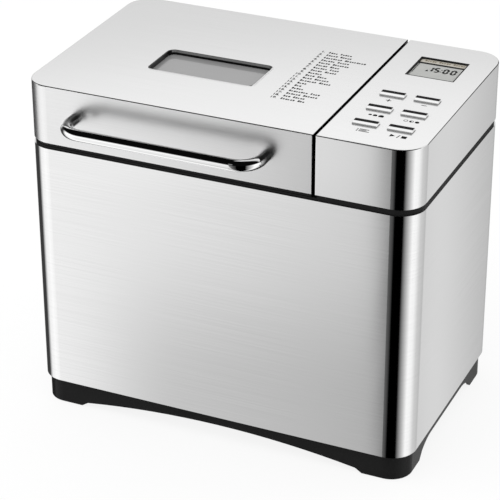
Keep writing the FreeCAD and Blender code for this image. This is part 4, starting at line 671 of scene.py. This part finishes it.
figures = np.concatenate([figure(digit, left) for digit, left in zip(FIGURES, FIGURE_LEFTS)])
colon = rectangles(COLON_LEFT, DIGIT_FRONT + COLON_RISES, COLON_DOT, COLON_DOT)
pointer = np.array([[[125.6, DIGIT_FRONT], [128.4, DIGIT_FRONT], [127.0, DIGIT_FRONT + 3.8]]])
edge_lines = np.concatenate([
    rectangles(PANE_LEFT, STRIP_FRONT - LINE_DEPTH, PANE_RIGHT - PANE_LEFT, LINE_DEPTH),
    rectangles(
        PANE_LEFT + SIDE_LINE_INSET, STRIP_FRONT - LINE_DEPTH - SIDE_LINE_REACH,
        SIDE_LINE_WIDTH, SIDE_LINE_DEPTH,
    ),
])
segments = plates("display_segments", [figures, colon, pointer, edge_lines], pane_top, pane_top + INK)
dress(segments, "display_segment")
for piece in (strip, strip_print, segments):
    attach(piece, "housing")
print("display:", len(figures), "lit segments")

# %% [markdown]
# ## The studio
# Polished metal is only as good as what it reflects. A dome round the machine, seen by reflections alone,
# stands for the studio: a white wall at the left, a black flag by the front corner, a white wall at the
# right, a rear wall that brightens with height, and darkness above. The camera itself sees plain white.

# %% Studio dome
# Azimuth and brightness round the walls: 0 is in front of the machine, 90 at its right.
WALL_LIGHTS = [
    (-180, 0.5), (-130, 0.4),  # grey behind, at the left
    (-120, 0.05), (-85, 0.05),  # black flag at the left
    (-70, 1.0), (-50, 1.15), (-9, 0.72),  # white wall at the left, fading towards the front
    (-8, 0.2), (10, 0.0), (40, 0.0),  # black flag by the front corner
    (60, 0.6), (75, 1.1), (90, 1.05),  # white wall at the right
    (110, 0.7), (145, 0.55),  # grey wall at the right
    (150, 0.8), (155, 0.5), (180, 0.5),  # narrow light at the right rear, and grey behind
]
WALL_AZIMUTH, WALL_SHADE = zip(*WALL_LIGHTS)
# How far the right edge of the black flag leans for each degree below its bend, by azimuth.
LEAN_AZIMUTH, LEAN, FLAG_BEND = [15, 40, 60, 80], [0, 0.25, 0.25, 0], -24
# How far the other lights lean for each degree below and above one elevation.
LEAN_ELEVATION, LEAN_BELOW, LEAN_ABOVE, RIGHT_LEAN = -25, 0.15, 0.08, 0.8
FRONT_FADE, LID_LIFT, HORIZON_LIFT = 0.28, 0.08, 0.15
REAR_ELEVATION, REAR_SHADE = [24, 28, 30, 33, 38], [0.68, 0.72, 0.78, 0.92, 1.03]
WINDOW_SHARE, CARD_LIGHT, DIM_CARD_LIGHT, DARKEST = 0.8, 1.05, 0.3, 0.003
DOME_RADIUS = 1.0
DOME_CENTER = np.array([0.0, 0.015, 0.15])


def smooth(value, low, high):
    """Goes from 0 at low to 1 at high without a kink: three parts square less two parts cube."""
    share = np.clip((value - low) / (high - low), 0, 1)
    return share * share * (3 - 2 * share)


def between(value, low, high, edge):
    """1 between two values and 0 outside, with soft edges of a given width inside them."""
    return smooth(value, low, low + edge) * smooth(-value, -high, edge - high)


def wall_shade(azimuth, elevation):
    """Brightness of the walls. Their lights lean a little with elevation, the front wall fades towards the
    floor and brightens at the height that the lid reflects, and all walls brighten above the horizon."""
    slant = np.where(elevation < LEAN_ELEVATION, LEAN_BELOW, LEAN_ABOVE) * (elevation - LEAN_ELEVATION)
    front_turn = smooth(azimuth, -30, -15) * smooth(-azimuth, -8, 0)
    turned = slant * (front_turn - RIGHT_LEAN * smooth(azimuth, 120, 145))
    flag_lean = np.minimum(elevation - FLAG_BEND, 0) * np.interp(azimuth, LEAN_AZIMUTH, LEAN)
    walls = np.interp(azimuth + flag_lean + turned, WALL_AZIMUTH, WALL_SHADE)
    front = smooth(azimuth, -37, -25) * smooth(-azimuth, 2, 9)
    walls = walls * (1 - FRONT_FADE * smooth(-elevation, 20, 34) * front)
    walls = walls * (1 + LID_LIFT * smooth(elevation, -20, -16) * front)
    return walls * (1 + HORIZON_LIFT * smooth(elevation, -5, 5))


def dark_share(azimuth, elevation, across, rearward, behind):
    """1 in the dark: a ceiling that begins low in front and high behind, with a soft window at the right
    rear, and a strip at the right, for the rounded edge of the lid."""
    ceiling = smooth(elevation, 16, 26) * (1 - behind) + smooth(elevation, 42, 50) * behind
    ceiling = ceiling * (1 - WINDOW_SHARE * smooth(across, -0.12, 0.02) * smooth(rearward, 0.05, 0.2))
    edge_strip = smooth(elevation, -11, -6) * smooth(-elevation, -26, -22)
    edge_strip = edge_strip * smooth(azimuth, 125, 135) * smooth(-azimuth, -172, -165)
    return np.maximum(ceiling, edge_strip)


def card_light(elevation, across, rearward):
    """Two small cards in the ceiling for the buttons: a white one behind and a dim one in front."""
    card = between(across, -0.26, -0.04, 0.05) * between(rearward, 0.14, 0.52, 0.06)
    dim_card = between(across, -0.27, -0.05, 0.04) * between(elevation, 28, 42, 4)
    dim_card = dim_card * smooth(-rearward, 0.3, 0.5)
    return CARD_LIGHT * card * smooth(elevation, 45, 50) + DIM_CARD_LIGHT * dim_card


def dome_shade(azimuth, elevation, direction):
    """Brightness in each direction: the walls, then the rear wall where it is behind and above the horizon,
    both covered by the dark with its cards."""
    across, rearward = direction[..., 0], direction[..., 1]
    behind = smooth(rearward, 0.1, 0.3)
    walls = wall_shade(azimuth, elevation)
    rear = np.interp(elevation, REAR_ELEVATION, REAR_SHADE)
    level = walls + (rear - walls) * smooth(elevation, -8, 6) * behind
    dark = dark_share(azimuth, elevation, across, rearward, behind)
    return level * (1 - dark) + np.maximum(card_light(elevation, across, rearward), DARKEST) * dark


# %% Dome mesh
AZ, EL = np.meshgrid(np.linspace(-180, 180, 361), np.linspace(-89.9, 89.9, 181))
around, height = np.radians(AZ), np.radians(EL)
reach = np.cos(height)
toward = np.stack([np.sin(around) * reach, -np.cos(around) * reach, np.sin(height)], axis=-1)
dome = mesh_object("studio_dome", toward.reshape(-1, 3) * DOME_RADIUS + DOME_CENTER, grid_faces(*AZ.shape))
shade = dome.data.color_attributes.new("shade", "FLOAT_COLOR", "POINT")
brightness = dome_shade(AZ, EL, toward).astype(np.float32)
shade.data.foreach_set("color", np.repeat(brightness.ravel(), 4))
dome_look = bpy.data.materials.new("studio_dome")
dome_look.use_nodes = True
tree = dome_look.node_tree
tree.nodes.clear()
glow = tree.nodes.new("ShaderNodeEmission")
read = tree.nodes.new("ShaderNodeAttribute")
read.attribute_name = "shade"
tree.links.new(read.outputs["Color"], glow.inputs["Color"])
tree.links.new(glow.outputs[0], tree.nodes.new("ShaderNodeOutputMaterial").inputs["Surface"])
dome.data.materials.append(dome_look)
for kind in ("camera", "diffuse", "transmission", "shadow", "volume_scatter"):
    setattr(dome, f"visible_{kind}", False)
print("dome brightness from", brightness.min(), "to", brightness.max())

# %% [markdown]
# ## Floor and light
# The floor is white and keeps a soft shadow of the machine. To the camera it is partly a plain white glow,
# so it runs into the white background without an edge, as in a product picture.

# %% Floor, world and lamp
FLOOR_HALF, FLOOR_GLOW, FLOOR_WHITE, FLOOR_ROUGHNESS = 3.0, 0.87, 0.95, 0.9
LAMP_SIZE, LAMP_DEPTH, LAMP_POWER = 1.6, 1.2, 9
LAMP_PLACE, LAMP_TURN = (-0.7, -0.6, 1.9), (math.radians(18), math.radians(-20), 0)
floor_points = np.array([[-1, -1, 0], [1, -1, 0], [1, 1, 0], [-1, 1, 0]]) * FLOOR_HALF
floor = mesh_object("floor", floor_points, [[0, 1, 2, 3]])
floor_look = bpy.data.materials.new("floor")
floor_look.use_nodes = True
tree = floor_look.node_tree
paint = tree.nodes["Principled BSDF"]
paint.inputs["Base Color"].default_value = (FLOOR_WHITE, FLOOR_WHITE, FLOOR_WHITE, 1)
paint.inputs["Roughness"].default_value = FLOOR_ROUGHNESS
light_path = tree.nodes.new("ShaderNodeLightPath")
seen = calculate(tree, "MAXIMUM", light_path.outputs["Is Camera Ray"], light_path.outputs["Is Glossy Ray"])
seen = calculate(tree, "MAXIMUM", seen, light_path.outputs["Is Transmission Ray"])
white = tree.nodes.new("ShaderNodeEmission")
share = tree.nodes.new("ShaderNodeMixShader")
tree.links.new(calculate(tree, "MULTIPLY", seen, FLOOR_GLOW), share.inputs["Fac"])
tree.links.new(paint.outputs[0], share.inputs[1])
tree.links.new(white.outputs[0], share.inputs[2])
tree.links.new(share.outputs[0], tree.nodes["Material Output"].inputs["Surface"])
floor.data.materials.append(floor_look)
floor.visible_glossy = False

world = bpy.data.worlds.new("studio")
world.use_nodes = True
background = world.node_tree.nodes["Background"]
background.inputs["Color"].default_value = (1, 1, 1, 1)
background.inputs["Strength"].default_value = 1.0
scene.world = world

lamp_data = bpy.data.lights.new("soft_box", "AREA")
lamp_data.shape = "RECTANGLE"
lamp_data.size, lamp_data.size_y = LAMP_SIZE, LAMP_DEPTH
lamp_data.energy = LAMP_POWER
lamp = bpy.data.objects.new("soft_box", lamp_data)
lamp.location = LAMP_PLACE
lamp.rotation_euler = LAMP_TURN
lamp.visible_glossy = False
scene.collection.objects.link(lamp)
print("studio ready")
